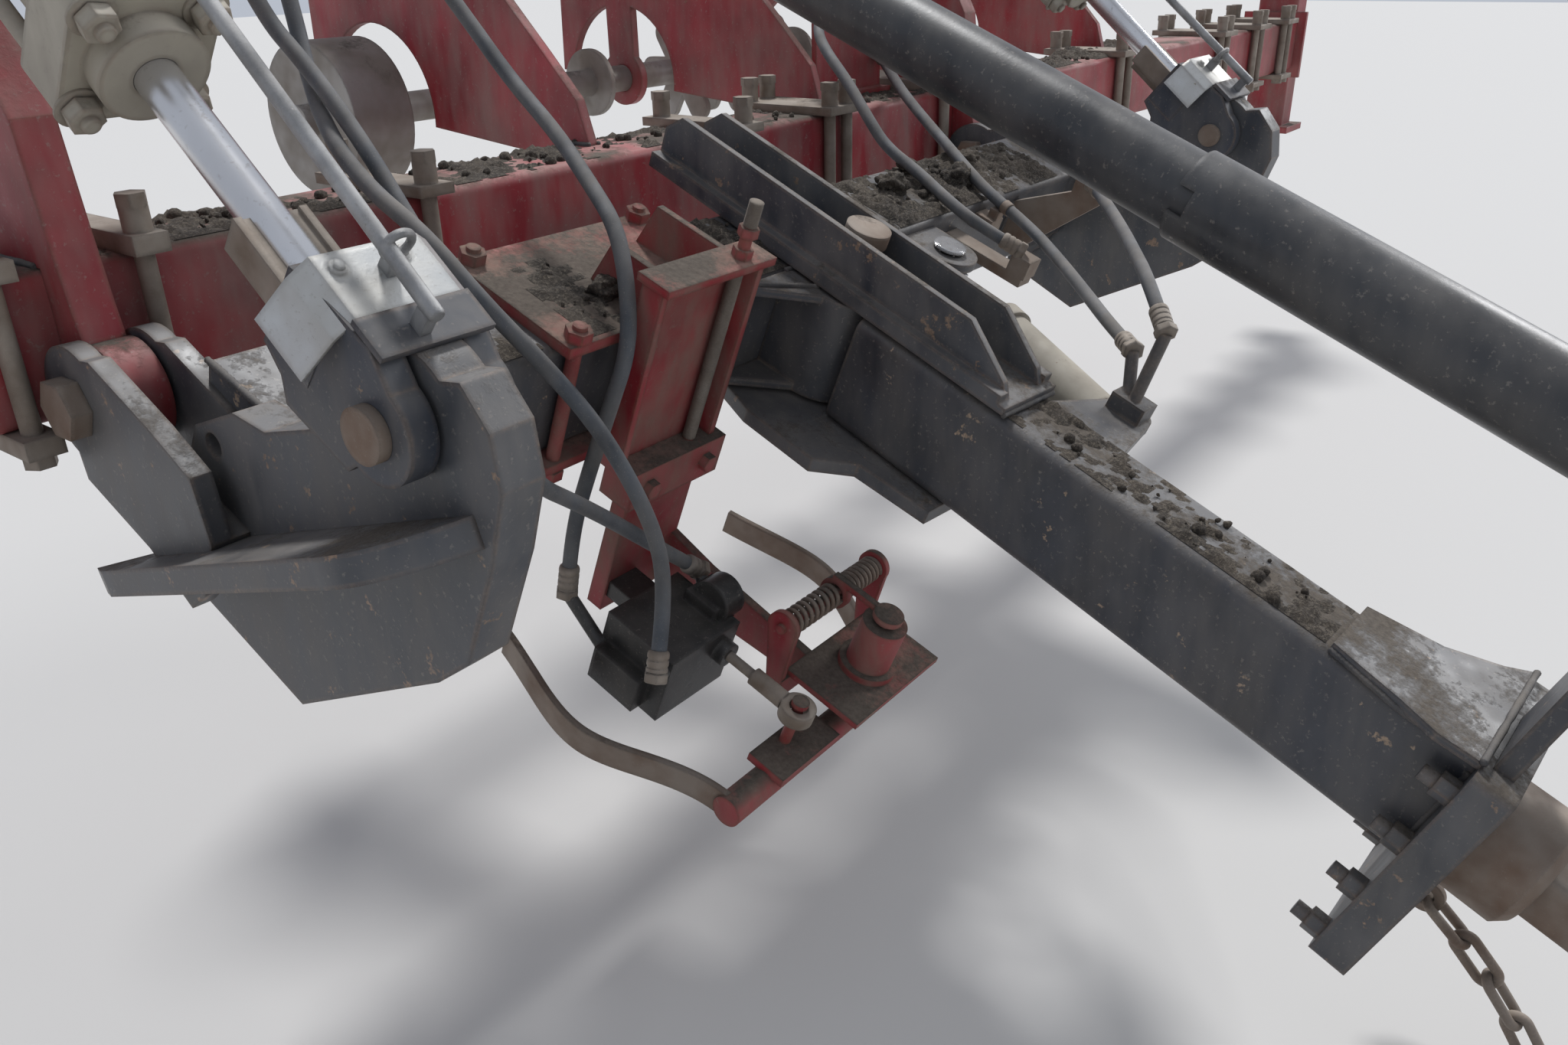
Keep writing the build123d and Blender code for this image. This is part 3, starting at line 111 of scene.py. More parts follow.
def noise_node(tree, vector, scale, detail=4.0, rough=0.6, distort=0.0):
    node = tree.nodes.new("ShaderNodeTexNoise")
    node.inputs["Detail"].default_value = detail
    node.inputs["Roughness"].default_value = rough
    node.inputs["Distortion"].default_value = distort
    tree.links.new(vector, node.inputs["Vector"])
    if isinstance(scale, (int, float)):
        node.inputs["Scale"].default_value = scale
    else:
        tree.links.new(scale, node.inputs["Scale"])
    return node.outputs["Fac"]


def remap(tree, value, low, high, to_low=0.0, to_high=1.0):
    node = tree.nodes.new("ShaderNodeMapRange")
    node.clamp = True
    tree.links.new(value, node.inputs["Value"])
    for label, number in (("From Min", low), ("From Max", high), ("To Min", to_low), ("To Max", to_high)):
        if isinstance(number, (int, float)):
            node.inputs[label].default_value = number
        else:
            tree.links.new(number, node.inputs[label])
    return node.outputs["Result"]


def mix_colour(tree, factor, a, b):
    node = tree.nodes.new("ShaderNodeMix")
    node.data_type = "RGBA"
    tree.links.new(factor, node.inputs[0])
    for socket, value in ((node.inputs[6], a), (node.inputs[7], b)):
        if isinstance(value, (tuple, list)):
            socket.default_value = (*value, 1.0)
        else:
            tree.links.new(value, socket)
    return node.outputs[2]


def coordinates(tree):
    return tree.nodes.new("ShaderNodeTexCoord").outputs["Object"]


def soil_group():
    """Soil that lies on what faces up, and a thin dusty film elsewhere."""
    group, start, end = new_group(
        "Soil", [("Lying", "NodeSocketFloat", 0.5), ("Film", "NodeSocketFloat", 0.4)],
        [("Lying", "NodeSocketFloat"), ("Film", "NodeSocketFloat"), ("Height", "NodeSocketFloat")])
    place = coordinates(group)
    geometry = group.nodes.new("ShaderNodeNewGeometry")
    upright = group.nodes.new("ShaderNodeSeparateXYZ")
    group.links.new(geometry.outputs["Normal"], upright.inputs[0])
    facing = remap(group, upright.outputs["Z"], 0.35, 0.95)
    broad = noise_node(group, place, 5.5, 3.0, 0.62)
    grains = noise_node(group, place, 95.0, 3.0, 0.7)
    sum_noise = math_node(group, "ADD", math_node(group, "MULTIPLY", broad, 1.5), math_node(group, "MULTIPLY", grains, 0.5))
    lying = math_node(group, "ADD", sum_noise, math_node(group, "SUBTRACT", start.outputs["Lying"], 1.6))
    lying = math_node(group, "MULTIPLY", remap(group, lying, -0.06, 0.16), facing)
    group.links.new(lying, end.inputs["Lying"])
    streak = group.nodes.new("ShaderNodeMapping")
    streak.inputs["Scale"].default_value = (1.0, 1.0, 0.28)
    group.links.new(place, streak.inputs["Vector"])
    smear = noise_node(group, streak.outputs[0], 14.0, 3.0, 0.66)
    film = math_node(group, "MULTIPLY", remap(group, smear, 0.36, 0.72), start.outputs["Film"])
    film = math_node(group, "ADD", film, math_node(group, "MULTIPLY", math_node(group, "MULTIPLY", facing, 0.55),
                                                   start.outputs["Film"]), clamp=True)
    group.links.new(film, end.inputs["Film"])
    group.links.new(math_node(group, "MULTIPLY", grains, lying), end.inputs["Height"])
    return group


def wear_group():
    """Worn edges and chips: 1 where the paint is gone."""
    group, start, end = new_group(
        "Wear", [("Edges", "NodeSocketFloat", 0.6), ("Chips", "NodeSocketFloat", 0.3)],
        [("Edges", "NodeSocketFloat"), ("Chips", "NodeSocketFloat"), ("Normal", "NodeSocketVector")])
    place = coordinates(group)
    soft = group.nodes.new("ShaderNodeBevel")
    soft.samples = 2
    soft.inputs["Radius"].default_value = 0.008
    geometry = group.nodes.new("ShaderNodeNewGeometry")
    dot = group.nodes.new("ShaderNodeVectorMath")
    dot.operation = "DOT_PRODUCT"
    group.links.new(soft.outputs[0], dot.inputs[0])
    group.links.new(geometry.outputs["Normal"], dot.inputs[1])
    turned = math_node(group, "SUBTRACT", 1.0, dot.outputs["Value"])
    edge = remap(group, turned, 0.004, 0.07)
    rag = remap(group, noise_node(group, place, 34.0, 3.0, 0.7), 0.3, 0.56)
    edge = math_node(group, "MULTIPLY", math_node(group, "MULTIPLY", edge, rag), start.outputs["Edges"], clamp=True)
    group.links.new(edge, end.inputs["Edges"])
    spots = noise_node(group, place, 22.0, 4.0, 0.74)
    level = math_node(group, "SUBTRACT", 0.78, math_node(group, "MULTIPLY", start.outputs["Chips"], 0.3))
    chips = remap(group, spots, level, math_node(group, "ADD", level, 0.035))
    group.links.new(chips, end.inputs["Chips"])
    group.links.new(soft.outputs[0], end.inputs["Normal"])
    return group


def patina_group():
    """Slow and fine variation of a painted or bare surface."""
    group, start, end = new_group(
        "Patina", [("Scale", "NodeSocketFloat", 6.0)],
        [("Slow", "NodeSocketFloat"), ("Fine", "NodeSocketFloat")])
    place = coordinates(group)
    group.links.new(noise_node(group, place, start.outputs["Scale"], 3.0, 0.6), end.inputs["Slow"])
    fine = math_node(group, "MULTIPLY", start.outputs["Scale"], 22.0)
    group.links.new(noise_node(group, place, fine, 3.0, 0.65), end.inputs["Fine"])
    return group


SOIL = soil_group()
WEAR = wear_group()
PATINA = patina_group()


def place_group(tree, group, **values):
    node = tree.nodes.new("ShaderNodeGroup")
    node.node_tree = group
    for label, value in values.items():
        node.inputs[label].default_value = value
    return node


def finish(name, paint, shade, bare, soil, lying=0.5, film=0.4, edges=0.7, chips=0.3, rough=0.42, metallic=0.0,
           scale=6.0, bump=0.35):
    """A painted or bare steel finish with patina, worn edges, chips and soil."""
    material = bpy.data.materials.new(name)
    material.use_nodes = True
    tree = material.node_tree
    shader = tree.nodes["Principled BSDF"]
    patina = place_group(tree, PATINA, Scale=scale)
    wear = place_group(tree, WEAR, Edges=edges, Chips=chips)
    dirt = place_group(tree, SOIL, Lying=lying, Film=film)
    colour = mix_colour(tree, remap(tree, patina.outputs["Slow"], 0.35, 0.68), paint, shade)
    worn = math_node(tree, "MAXIMUM", wear.outputs["Edges"], wear.outputs["Chips"])
    metal = mix_colour(tree, remap(tree, patina.outputs["Fine"], 0.35, 0.65), bare, tuple(v * 0.45 for v in bare))
    colour = mix_colour(tree, worn, colour, metal)
    specks = math_node(tree, "MULTIPLY", remap(tree, patina.outputs["Fine"], 0.6, 0.7), 0.34)
    colour = mix_colour(tree, specks, colour, soil)
    film_colour = mix_colour(tree, patina.outputs["Fine"], soil, tuple(v * 0.7 for v in soil))
    colour = mix_colour(tree, math_node(tree, "MULTIPLY", dirt.outputs["Film"], 0.8), colour, film_colour)
    dark_soil = mix_colour(tree, patina.outputs["Fine"], (0.035, 0.028, 0.022), (0.15, 0.125, 0.1))
    colour = mix_colour(tree, dirt.outputs["Lying"], colour, dark_soil)
    tree.links.new(colour, shader.inputs["Base Color"])
    base_rough = remap(tree, patina.outputs["Slow"], 0.3, 0.7, rough - 0.08, rough + 0.14)
    rougher = math_node(tree, "ADD", base_rough, math_node(tree, "MULTIPLY", dirt.outputs["Film"], 0.45))
    rougher = math_node(tree, "ADD", rougher, math_node(tree, "MULTIPLY", dirt.outputs["Lying"], 0.5), clamp=True)
    tree.links.new(rougher, shader.inputs["Roughness"])
    if metallic > 0:
        clean = math_node(tree, "SUBTRACT", 1.0, math_node(tree, "MAXIMUM", dirt.outputs["Film"], dirt.outputs["Lying"]))
        tree.links.new(math_node(tree, "MULTIPLY", clean, metallic), shader.inputs["Metallic"])
    relief = tree.nodes.new("ShaderNodeBump")
    relief.inputs["Strength"].default_value = bump
    relief.inputs["Distance"].default_value = 0.004
    height = math_node(tree, "ADD", math_node(tree, "MULTIPLY", patina.outputs["Fine"], 0.12), dirt.outputs["Height"])
    tree.links.new(height, relief.inputs["Height"])
    tree.links.new(wear.outputs["Normal"], relief.inputs["Normal"])
    tree.links.new(relief.outputs["Normal"], shader.inputs["Normal"])
    return material


def soil_finish():
    """Dried soil, with a painted highlight on what stands out and painted shade in the hollows."""
    material = bpy.data.materials.new("soil")
    material.use_nodes = True
    tree = material.node_tree
    shader = tree.nodes["Principled BSDF"]
    patina = place_group(tree, PATINA, Scale=9.0)
    place = coordinates(tree)
    crumbs_and_highlight = noise_node(tree, place, 210.0, 6.0, 0.75)
    colour = mix_colour(tree, remap(tree, patina.outputs["Slow"], 0.3, 0.7), (0.022, 0.018, 0.015), (0.085, 0.068, 0.052))
    # The tan on the raised crumbs is dried soil with a painted highlight; the dark soil tone left in the hollows is
    # painted shade.
    colour = mix_colour(tree, remap(tree, crumbs_and_highlight, 0.48, 0.74), colour, (0.2, 0.168, 0.13))
    tree.links.new(colour, shader.inputs["Base Color"])
    shader.inputs["Roughness"].default_value = 0.96
    relief = tree.nodes.new("ShaderNodeBump")
    relief.inputs["Strength"].default_value = 0.8
    relief.inputs["Distance"].default_value = 0.005
    tree.links.new(math_node(tree, "ADD", crumbs_and_highlight, patina.outputs["Fine"]), relief.inputs["Height"])
    tree.links.new(relief.outputs["Normal"], shader.inputs["Normal"])
    return material


DUST = (0.30, 0.265, 0.225)
RUST = (0.24, 0.11, 0.055)


def make_finishes(colours):
    red, black = tuple(colours.red), tuple(colours.black)
    dark_red = tuple(v * 0.55 for v in red)
    return {
        "dusty_red": finish("dusty_red", red, dark_red, RUST, (0.24, 0.195, 0.15), 0.72, 0.95, 0.9, 0.3, 0.5),
        "red_paint": finish("red_paint", red, dark_red, RUST, DUST, 0.62, 0.62, 0.75, 0.25, 0.42),
        "black_paint": finish("black_paint", black, tuple(v * 1.8 for v in black), (0.4, 0.29, 0.2), DUST, 0.56, 0.3, 1.0,
                              0.42, 0.36),
        "worn_black": finish("worn_black", (0.036, 0.041, 0.05), (0.085, 0.088, 0.096), (0.3, 0.2, 0.135), DUST, 0.54, 0.4,
                             1.0, 0.5, 0.36, 0.0, 7.0),
        "zinc_plate": finish("zinc_plate", (0.62, 0.63, 0.62), (0.48, 0.47, 0.44), (0.36, 0.3, 0.24), DUST, 0.3, 0.3, 0.4,
                             0.25, 0.3, 0.75, 11.0),
        "rod_steel": finish("rod_steel", (0.2, 0.205, 0.21), (0.42, 0.42, 0.42), (0.5, 0.48, 0.46), DUST, 0.25, 0.35, 0.4,
                            0.35, 0.34, 0.6, 18.0),
        "zinc_bolts": finish("zinc_bolts", (0.3, 0.255, 0.21), (0.17, 0.125, 0.09), (0.4, 0.36, 0.32), DUST, 0.4, 0.6, 0.5,
                             0.2, 0.5, 0.5, 14.0),
        "worn_steel": finish("worn_steel", (0.26, 0.21, 0.17), (0.17, 0.105, 0.07), (0.42, 0.36, 0.3), DUST, 0.4, 0.55, 0.6,
                             0.3, 0.52, 0.55, 12.0),
        "bare_steel": finish("bare_steel", (0.34, 0.32, 0.3), (0.2, 0.17, 0.14), (0.5, 0.48, 0.45), DUST, 0.5, 0.6, 0.5,
                             0.2, 0.46, 0.6, 9.0),
        "cylinder_paint": finish("cylinder_paint", tuple(colours.cream), (0.3, 0.27, 0.22), RUST, DUST, 0.42, 0.55, 0.6,
                                 0.25, 0.5),
        "chrome_rod": finish("chrome_rod", (0.75, 0.75, 0.76), (0.62, 0.62, 0.63), (0.8, 0.8, 0.8), DUST, 0.2, 0.1, 0.0,
                             0.0, 0.12, 0.95, 4.0, 0.08),
        "blue_clevis": finish("blue_clevis", (0.022, 0.028, 0.04), (0.05, 0.058, 0.075), (0.3, 0.2, 0.13), DUST, 0.4, 0.4,
                              0.9, 0.35, 0.4),
        "valve_black": finish("valve_black", (0.014, 0.014, 0.015), (0.03, 0.03, 0.03), (0.2, 0.19, 0.18), DUST, 0.35, 0.2,
                              0.5, 0.2, 0.26, 0.3, 10.0),
        "hose_rubber": finish("hose_rubber", tuple(colours.hose), tuple(v * 0.6 for v in colours.hose), (0.13, 0.13, 0.13), DUST,
                              0.15, 0.55, 0.3, 0.12, 0.55, 0.0, 16.0, 0.25),
        "soil": soil_finish(),
        "weld": finish("weld", tuple(v * 1.3 for v in black), black, (0.2, 0.16, 0.12), DUST, 0.3, 0.5, 0.3, 0.25, 0.5, 0.0,
                       20.0),
        "driveline_paint": finish("driveline_paint", (0.022, 0.024, 0.028), (0.05, 0.052, 0.056), (0.3, 0.28, 0.26), DUST,
                                  0.2, 0.22, 0.6, 0.35, 0.3),
    }


class HitchColours(bpy.types.PropertyGroup):
    red: bpy.props.FloatVectorProperty(name="Red paint", description="Paint of the toolbar, masts and row finder",
                                       subtype="COLOR", size=3, min=0, max=1, default=(0.34, 0.025, 0.035))
    black: bpy.props.FloatVectorProperty(name="Black paint", description="Paint of the hitch frame and drawbar",
                                         subtype="COLOR", size=3, min=0, max=1, default=(0.032, 0.034, 0.04))
    cream: bpy.props.FloatVectorProperty(name="Cylinder paint", description="Paint of the lift cylinders",
                                         subtype="COLOR", size=3, min=0, max=1, default=(0.44, 0.4, 0.32))
    hose: bpy.props.FloatVectorProperty(name="Hose rubber", description="Cover of the hydraulic hoses",
                                        subtype="COLOR", size=3, min=0, max=1, default=(0.075, 0.085, 0.1))


class HitchSizes(bpy.types.PropertyGroup):
    floor: bpy.props.FloatProperty(name="Floor height", description="Height of the floor below the toolbar's middle",
                                   unit="LENGTH", default=-1.085)
    hose_radius: bpy.props.FloatProperty(name="Hose radius", description="Outside radius of the hydraulic hoses",
                                         unit="LENGTH", min=0.003, default=0.011)
    spring_wire: bpy.props.FloatProperty(name="Spring wire", description="Radius of the row finder's spring wire",
                                         unit="LENGTH", min=0.001, default=0.0035)


def mesh_object(name, mesh, material=None):
    obj = bpy.data.objects.new(name, mesh)
    bpy.context.scene.collection.objects.link(obj)
    if material:
        obj.data.materials.clear()
        obj.data.materials.append(material)
    return obj


def millimetres(points):
    return [Vector(p) / 1000 for p in points]


def loft(name, path, radii, sides=16, flat=False):
    """A closed tube round a path, with one radius for each of its points."""
    path = [Vector(p) for p in path]
    radii = radii if isinstance(radii, (list, tuple)) else [radii] * len(path)
    count = len(path)
    heads = []
    for i in range(count):
        ahead = next((path[j] - path[i] for j in range(i + 1, count) if (path[j] - path[i]).length > 1e-6), None)
        behind = next((path[i] - path[j] for j in range(i - 1, -1, -1) if (path[i] - path[j]).length > 1e-6), None)
        both = [v.normalized() for v in (ahead, behind) if v is not None]
        heads.append(sum(both, Vector()).normalized())
    side = heads[0].orthogonal().normalized()
    points, faces = [], []
    for i in range(count):
        side = (side - heads[i] * side.dot(heads[i])).normalized()
        up = heads[i].cross(side)
        for k in range(sides):
            turn = 2 * math.pi * k / sides
            points.append(path[i] + (side * math.cos(turn) + up * math.sin(turn)) * radii[i])
    for i in range(count - 1):
        for k in range(sides):
            j = (k + 1) % sides
            faces.append((i * sides + k, i * sides + j, (i + 1) * sides + j, (i + 1) * sides + k))
    faces.append(tuple(reversed(range(sides))))
    faces.append(tuple((count - 1) * sides + k for k in range(sides)))
    mesh = bpy.data.meshes.new(name)
    mesh.from_pydata([tuple(p) for p in points], [], faces)
    mesh.update()
    if not flat:
        mesh.polygons.foreach_set("use_smooth", [True] * len(mesh.polygons))
        mesh.set_sharp_from_angle(angle=0.7)
    return mesh


def spline_points(name, route):
    """The smooth line of a route, read from its NURBS spline."""
    curve = bpy.data.curves.new(name + "_line", "CURVE")
    curve.dimensions = "3D"
    curve.resolution_u = 10
    spline = curve.splines.new("NURBS")
    spline.points.add(len(route) - 1)
    for point, place in zip(spline.points, route):
        point.co = (*place, 1.0)
    spline.order_u = 3
    spline.use_endpoint_u = True
    line = bpy.data.objects.new(name + "_line", curve)
    bpy.context.scene.collection.objects.link(line)
    mesh = bpy.data.meshes.new_from_object(line)
    points = [v.co.copy() for v in mesh.vertices]
    bpy.data.meshes.remove(mesh)
    bpy.data.objects.remove(line)
    bpy.data.curves.remove(curve)
    return points


FINISHES = {}


def material(name):
    return FINISHES[name]


def piece(name, mesh, finish_name, body):
    """A finished mesh that rides on one body."""
    obj = mesh_object(name, mesh, material(finish_name))
    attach(obj, body)
    return obj


def joined(name, meshes):
    """One mesh from several."""
    work = bmesh.new()
    for mesh in meshes:
        work.from_mesh(mesh)
        bpy.data.meshes.remove(mesh)
    result = bpy.data.meshes.new(name)
    work.to_mesh(result)
    work.free()
    return result


# Hydraulic hoses: body at each end, then the points of the route in millimetres
HOSES = {
    "hose_valve_a": ("frame", "hitch_frame", [
        (-399, -105, 391), (-396, -182, 312), (-404, -268, 236), (-426, -375, 174), (-462, -470, 118), (-499, -549, 78),
        (-528, -590, 12), (-541, -597, -68), (-556, -570, -146), (-562, -524, -248), (-568, -484, -345),
        (-575, -475, -410)]),
    "hose_valve_b": ("frame", "hitch_frame", [
        (-620, -75, 410), (-632, -110, 340), (-662, -165, 262), (-702, -250, 196), (-723, -347, 143), (-725, -450, 97),
        (-708, -520, 21), (-668, -565, -55), (-620, -603, -143), (-592, -640, -240), (-577, -664, -330),
        (-598, -682, -402), (-620, -688, -458)]),
    "hose_valve_c": ("frame", "hitch_frame", [
        (-682, -75, 410), (-680, -112, 338), (-678, -190, 278), (-683, -288, 194), (-690, -374, 102), (-709, -463, 29),
        (-734, -530, -4), (-748, -574, -60), (-749, -590, -132), (-718, -588, -200), (-640, -576, -258),
        (-560, -562, -322), (-485, -563, -388), (-425, -569, -440)]),
    "hose_cross_d": ("frame", "hitch_frame", [
        (640, -62, 262), (585, -92, 240), (535, -150, 205), (488, -240, 150), (448, -312, 94), (428, -368, 45),
        (414, -448, 8), (374, -538, -30), (364, -602, -62), (383, -652, -92)]),
    "hose_cross_e": ("frame", "hitch_frame", [
        (868, -72, 160), (820, -125, 138), (745, -205, 107), (660, -317, 63), (593, -413, 25), (546, -482, -4),
        (520, -538, -34), (506, -588, -58)]),
    "hose_drawbar_f": ("hitch_frame", "drawbar", [
        (502.1, -602, -64.7), (486.2, -658.8, -92), (410, -748, -117), (290, -865, -144), (210, -940, -161),
        (163, -986, -169)]),
    "hose_drawbar_g": ("hitch_frame", "drawbar", [
        (600, -734, -32), (515, -795, -42), (400, -874, -56), (295, -940, -66), (192, -1003, -74), (147, -1043, -109)]),
}


class HITCH_OT_hoses(bpy.types.Operator):
    """Makes the seven hydraulic hoses along their smooth lines"""
    bl_idname = "hitch.hoses"
    bl_label = "Hoses"

    def execute(self, context):
        radius = context.scene.hitch_sizes.hose_radius
        for name, (start_body, end_body, route) in HOSES.items():
            route = millimetres(route)
            path = spline_points(name, route)
            obj = mesh_object(name + "_cover", loft(name + "_cover", path, radius, 20), material("hose_rubber"))
            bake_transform(obj)
            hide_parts(name)
        return {"FINISHED"}


# Crimped sleeves: hose, which end, length of the sleeve and the body that carries it
SLEEVES = [("hose_valve_a", 0, 62, "frame"), ("hose_valve_b", 0, 46, "frame"), ("hose_valve_c", 0, 46, "frame"),
           ("hose_cross_d", 0, 54, "frame"), ("hose_cross_e", 0, 50, "frame"), ("hose_valve_a", -1, 50, "hitch_frame"),
           ("hose_valve_b", -1, 42, "hitch_frame"), ("hose_valve_c", -1, 40, "hitch_frame"),
           ("hose_cross_d", -1, 46, "hitch_frame"), ("hose_drawbar_g", 0, 50, "hitch_frame"),
           ("hose_drawbar_f", -1, 48, "drawbar"), ("hose_drawbar_g", -1, 52, "drawbar")]


class HITCH_OT_sleeves(bpy.types.Operator):
    """Crimps a ribbed sleeve and a hexagon nut on the hose ends"""
    bl_idname = "hitch.sleeves"
    bl_label = "Hose sleeves"

    def execute(self, context):
        rides = {}
        for name, end, length, body in SLEEVES:
            route = millimetres(HOSES[name][2])
            tip, inner = (route[0], route[1]) if end == 0 else (route[-1], route[-2])
            along = (tip - inner).normalized()
            marks = [(-0.002, 0.0118), (0.0, 0.0143), (0.003, 0.0152)]
            at = 0.008
            while at < length / 1000 - 0.018:
                marks += [(at, 0.0152), (at + 0.0012, 0.0141), (at + 0.0032, 0.0141), (at + 0.0044, 0.0152)]
                at += 0.0105
            marks += [(length / 1000 - 0.015, 0.0152), (length / 1000 - 0.014, 0.0143)]
            rides.setdefault(body, []).append(
                loft("sleeve", [tip + along * d for d, r in marks], [r for d, r in marks], 28))
            nut = [(length / 1000 - 0.014, 0.0150), (length / 1000 - 0.012, 0.0178), (length / 1000 - 0.001, 0.0178),
                   (length / 1000 + 0.001, 0.0150)]
            rides[body].append(loft("nut", [tip + along * d for d, r in nut], [r for d, r in nut], 6, True))
        for body, meshes in rides.items():
            piece("sleeves_" + body, joined("sleeves_" + body, meshes), "zinc_bolts", body)
        return {"FINISHED"}


class HITCH_OT_springs(bpy.types.Operator):
    """Winds the row finder's two centring springs"""
    bl_idname = "hitch.springs"
    bl_label = "Finder springs"

    def execute(self, context):
        wire = context.scene.hitch_sizes.spring_wire
        for name, from_x, to_x in (("spring_left", -389.0, -270.0), ("spring_right", -161.0, -254.0)):
            turns, steps = 9, 22
            path = []
            for i in range(turns * steps + 1):
                share = i / (turns * steps)
                turn = 2 * math.pi * turns * share
                eased = share * 0.9 + 0.05 + 0.05 * math.cos(math.pi * (1 - share))
                path.append(hitch(from_x + (to_x - from_x) * eased, 612 + 17.5 * math.cos(turn), -250 + 17.5 * math.sin(turn)))
            obj = mesh_object(name, loft(name, path, wire, 10), material("worn_steel"))
            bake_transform(obj)
        return {"FINISHED"}


def prism(name, section, run):
    """A closed bar: a flat outline drawn out along a vector."""
    count = len(section)
    points = list(section) + [p + run for p in section]
    faces = [tuple(reversed(range(count))), tuple(range(count, 2 * count))]
    faces += [(i, (i + 1) % count, count + (i + 1) % count, count + i) for i in range(count)]
    work = bmesh.new()
    verts = [work.verts.new(p) for p in points]
    for face in faces:
        work.faces.new([verts[i] for i in face])
    bmesh.ops.recalc_face_normals(work, faces=work.faces)
    mesh = bpy.data.meshes.new(name)
    work.to_mesh(mesh)
    work.free()
    return mesh


def nut(place, axis, radius=0.017, height=0.015, washer=0.021):
    """A hexagon nut on a washer."""
    axis = axis.normalized()
    sizes = [(0.003, radius * 0.9), (0.0045, radius), (height + 0.001, radius), (height + 0.003, radius * 0.86)]
    rings = [(0.0, washer), (0.0005, washer), (0.0026, washer), (0.003, washer * 0.97)]
    return [loft("nut", [place + axis * d for d, r in sizes], [r for d, r in sizes], 6, True),
            loft("washer", [place + axis * d for d, r in rings], [r for d, r in rings], 28)]


def thread(start, end, radius, pitch=0.0022, sides=18):
    """A threaded bar with its ridges."""
    span = (end - start).length
    axis = (end - start).normalized()
    path, radii = [start], [radius * 0.82]
    at = 0.0008
    while at < span - 0.001:
        path += [start + axis * at, start + axis * (at + pitch / 2)]
        radii += [radius * 0.88, radius]
        at += pitch
    return loft("thread", path + [end], radii + [radius * 0.78], sides)


# Lift cylinders: line from the pin on the mast to the pin on the hitch frame
LIFT_BASE = Vector((-1.031, -0.084, 0.651))
LIFT_PIN = hitch(-1016, 486, 286)
LIFT_RUN = Vector((0, LIFT_PIN.y - LIFT_BASE.y, LIFT_PIN.z - LIFT_BASE.z)).normalized()
LIFT_FRONT = LIFT_RUN.cross(Vector((1, 0, 0)))


def on_rod(side, x, y, z):
    """A point by the rod's clevis: across, towards the front and along the cylinder from the pin, in millimetres."""
    place = LIFT_PIN + Vector((x, 0, 0)) / 1000 + LIFT_FRONT * (y / 1000) + LIFT_RUN * (z / 1000)
    return Vector((place.x * -side, place.y, place.z))


class HITCH_OT_cylinder_trim(bpy.types.Operator):
    """Adds the cylinders' tie bolt nuts, stroke plates, rods and clamps"""
    bl_idname = "hitch.cylinder_trim"
    bl_label = "Cylinder trim"

    def execute(self, context):
        gland = 506 - (Vector((LIFT_BASE.y, LIFT_BASE.z)) - Vector((LIFT_PIN.y, LIFT_PIN.z))).length * 1000
        for side, name in ((-1, "left"), (1, "right")):
            nuts, bolts = [], []
            for x in (-54, 54):
                for y in (-54, 54):
                    corner = on_rod(side, x - 15, y, gland)
                    nuts += nut(corner, LIFT_RUN, 0.0185, 0.018, 0.023)
                    nuts.append(thread(corner, corner + LIFT_RUN * 0.028, 0.0095))
            piece("gland_nuts_" + name, joined("gland_nuts_" + name, nuts), "cylinder_paint", "lift_barrel_" + name)
            outline = [(-88, 0), (-70, 48), (-54, 70), (58, 70), (74, 57), (86, 12)]
            inner = [(83, 11), (72, 54), (56, 67), (-52, 67), (-67, 46), (-85, -2)]
            section = [on_rod(side, x, y, -140) for x, y in outline + inner]
            plate = [prism("plate", section, on_rod(side, 0, 0, 72) - on_rod(side, 0, 0, 0))]
            for x, z in ((-36, -122), (30, -122)):
                bolts += nut(on_rod(side, x, 70, z), LIFT_FRONT, 0.0062, 0.004, 0.0085)
            bridge = prism("bridge", [on_rod(side, x, y, -66) for x, y in ((-61, 69), (-61, 76), (61, 76), (61, 69))],
                           on_rod(side, 0, 0, 44) - on_rod(side, 0, 0, 0))
            piece("stroke_bridge_" + name, bridge, "blue_clevis", "lift_rod_" + name)
            piece("stroke_plate_" + name, joined("stroke_plate_" + name, plate + bolts), "zinc_plate",
                  "lift_rod_" + name)
            rod = loft("rod", [on_rod(side, 14 - (z + 640) * 0.04, 104, z) for z in (-640, -639, -30, -28)], [0.0068, 0.008, 0.008, 0.0068], 24)
            ring = []
            for k in range(29):
                turn = 2 * math.pi * k / 28
                ring.append(on_rod(side, 4 + 14 * math.cos(turn), 104 + 14 * math.sin(turn), -108))
            clamp = loft("clamp", ring, 0.0042, 10)
            foot = prism("foot", [on_rod(side, x, y, -116) for x, y in ((0, 69), (12, 69), (12, 92), (0, 92))],
                         on_rod(side, 0, 0, 16) - on_rod(side, 0, 0, 0))
            tip = prism("tip", [on_rod(side, x, y, -48) for x, y in ((-16, 75), (-4, 75), (-4, 98), (-16, 98))],
                        on_rod(side, 0, 0, 16) - on_rod(side, 0, 0, 0))
            piece("stroke_rod_" + name, joined("stroke_rod_" + name, [rod, clamp, foot, tip]), "rod_steel",
                  "lift_rod_" + name)
        return {"FINISHED"}


class HITCH_OT_finder_trim(bpy.types.Operator):
    """Cuts the thread on the row finder's height rod"""
    bl_idname = "hitch.finder_trim"
    bl_label = "Finder trim"

    def execute(self, context):
        bars = [thread(hitch(-350, 326, -104), hitch(-350, 326, 190), 0.0104), thread(hitch(-350, 326, 254), hitch(-350, 326, 292), 0.0104)]
        piece("height_rod_thread", joined("height_rod_thread", bars), "zinc_bolts", "hitch_frame")
        return {"FINISHED"}


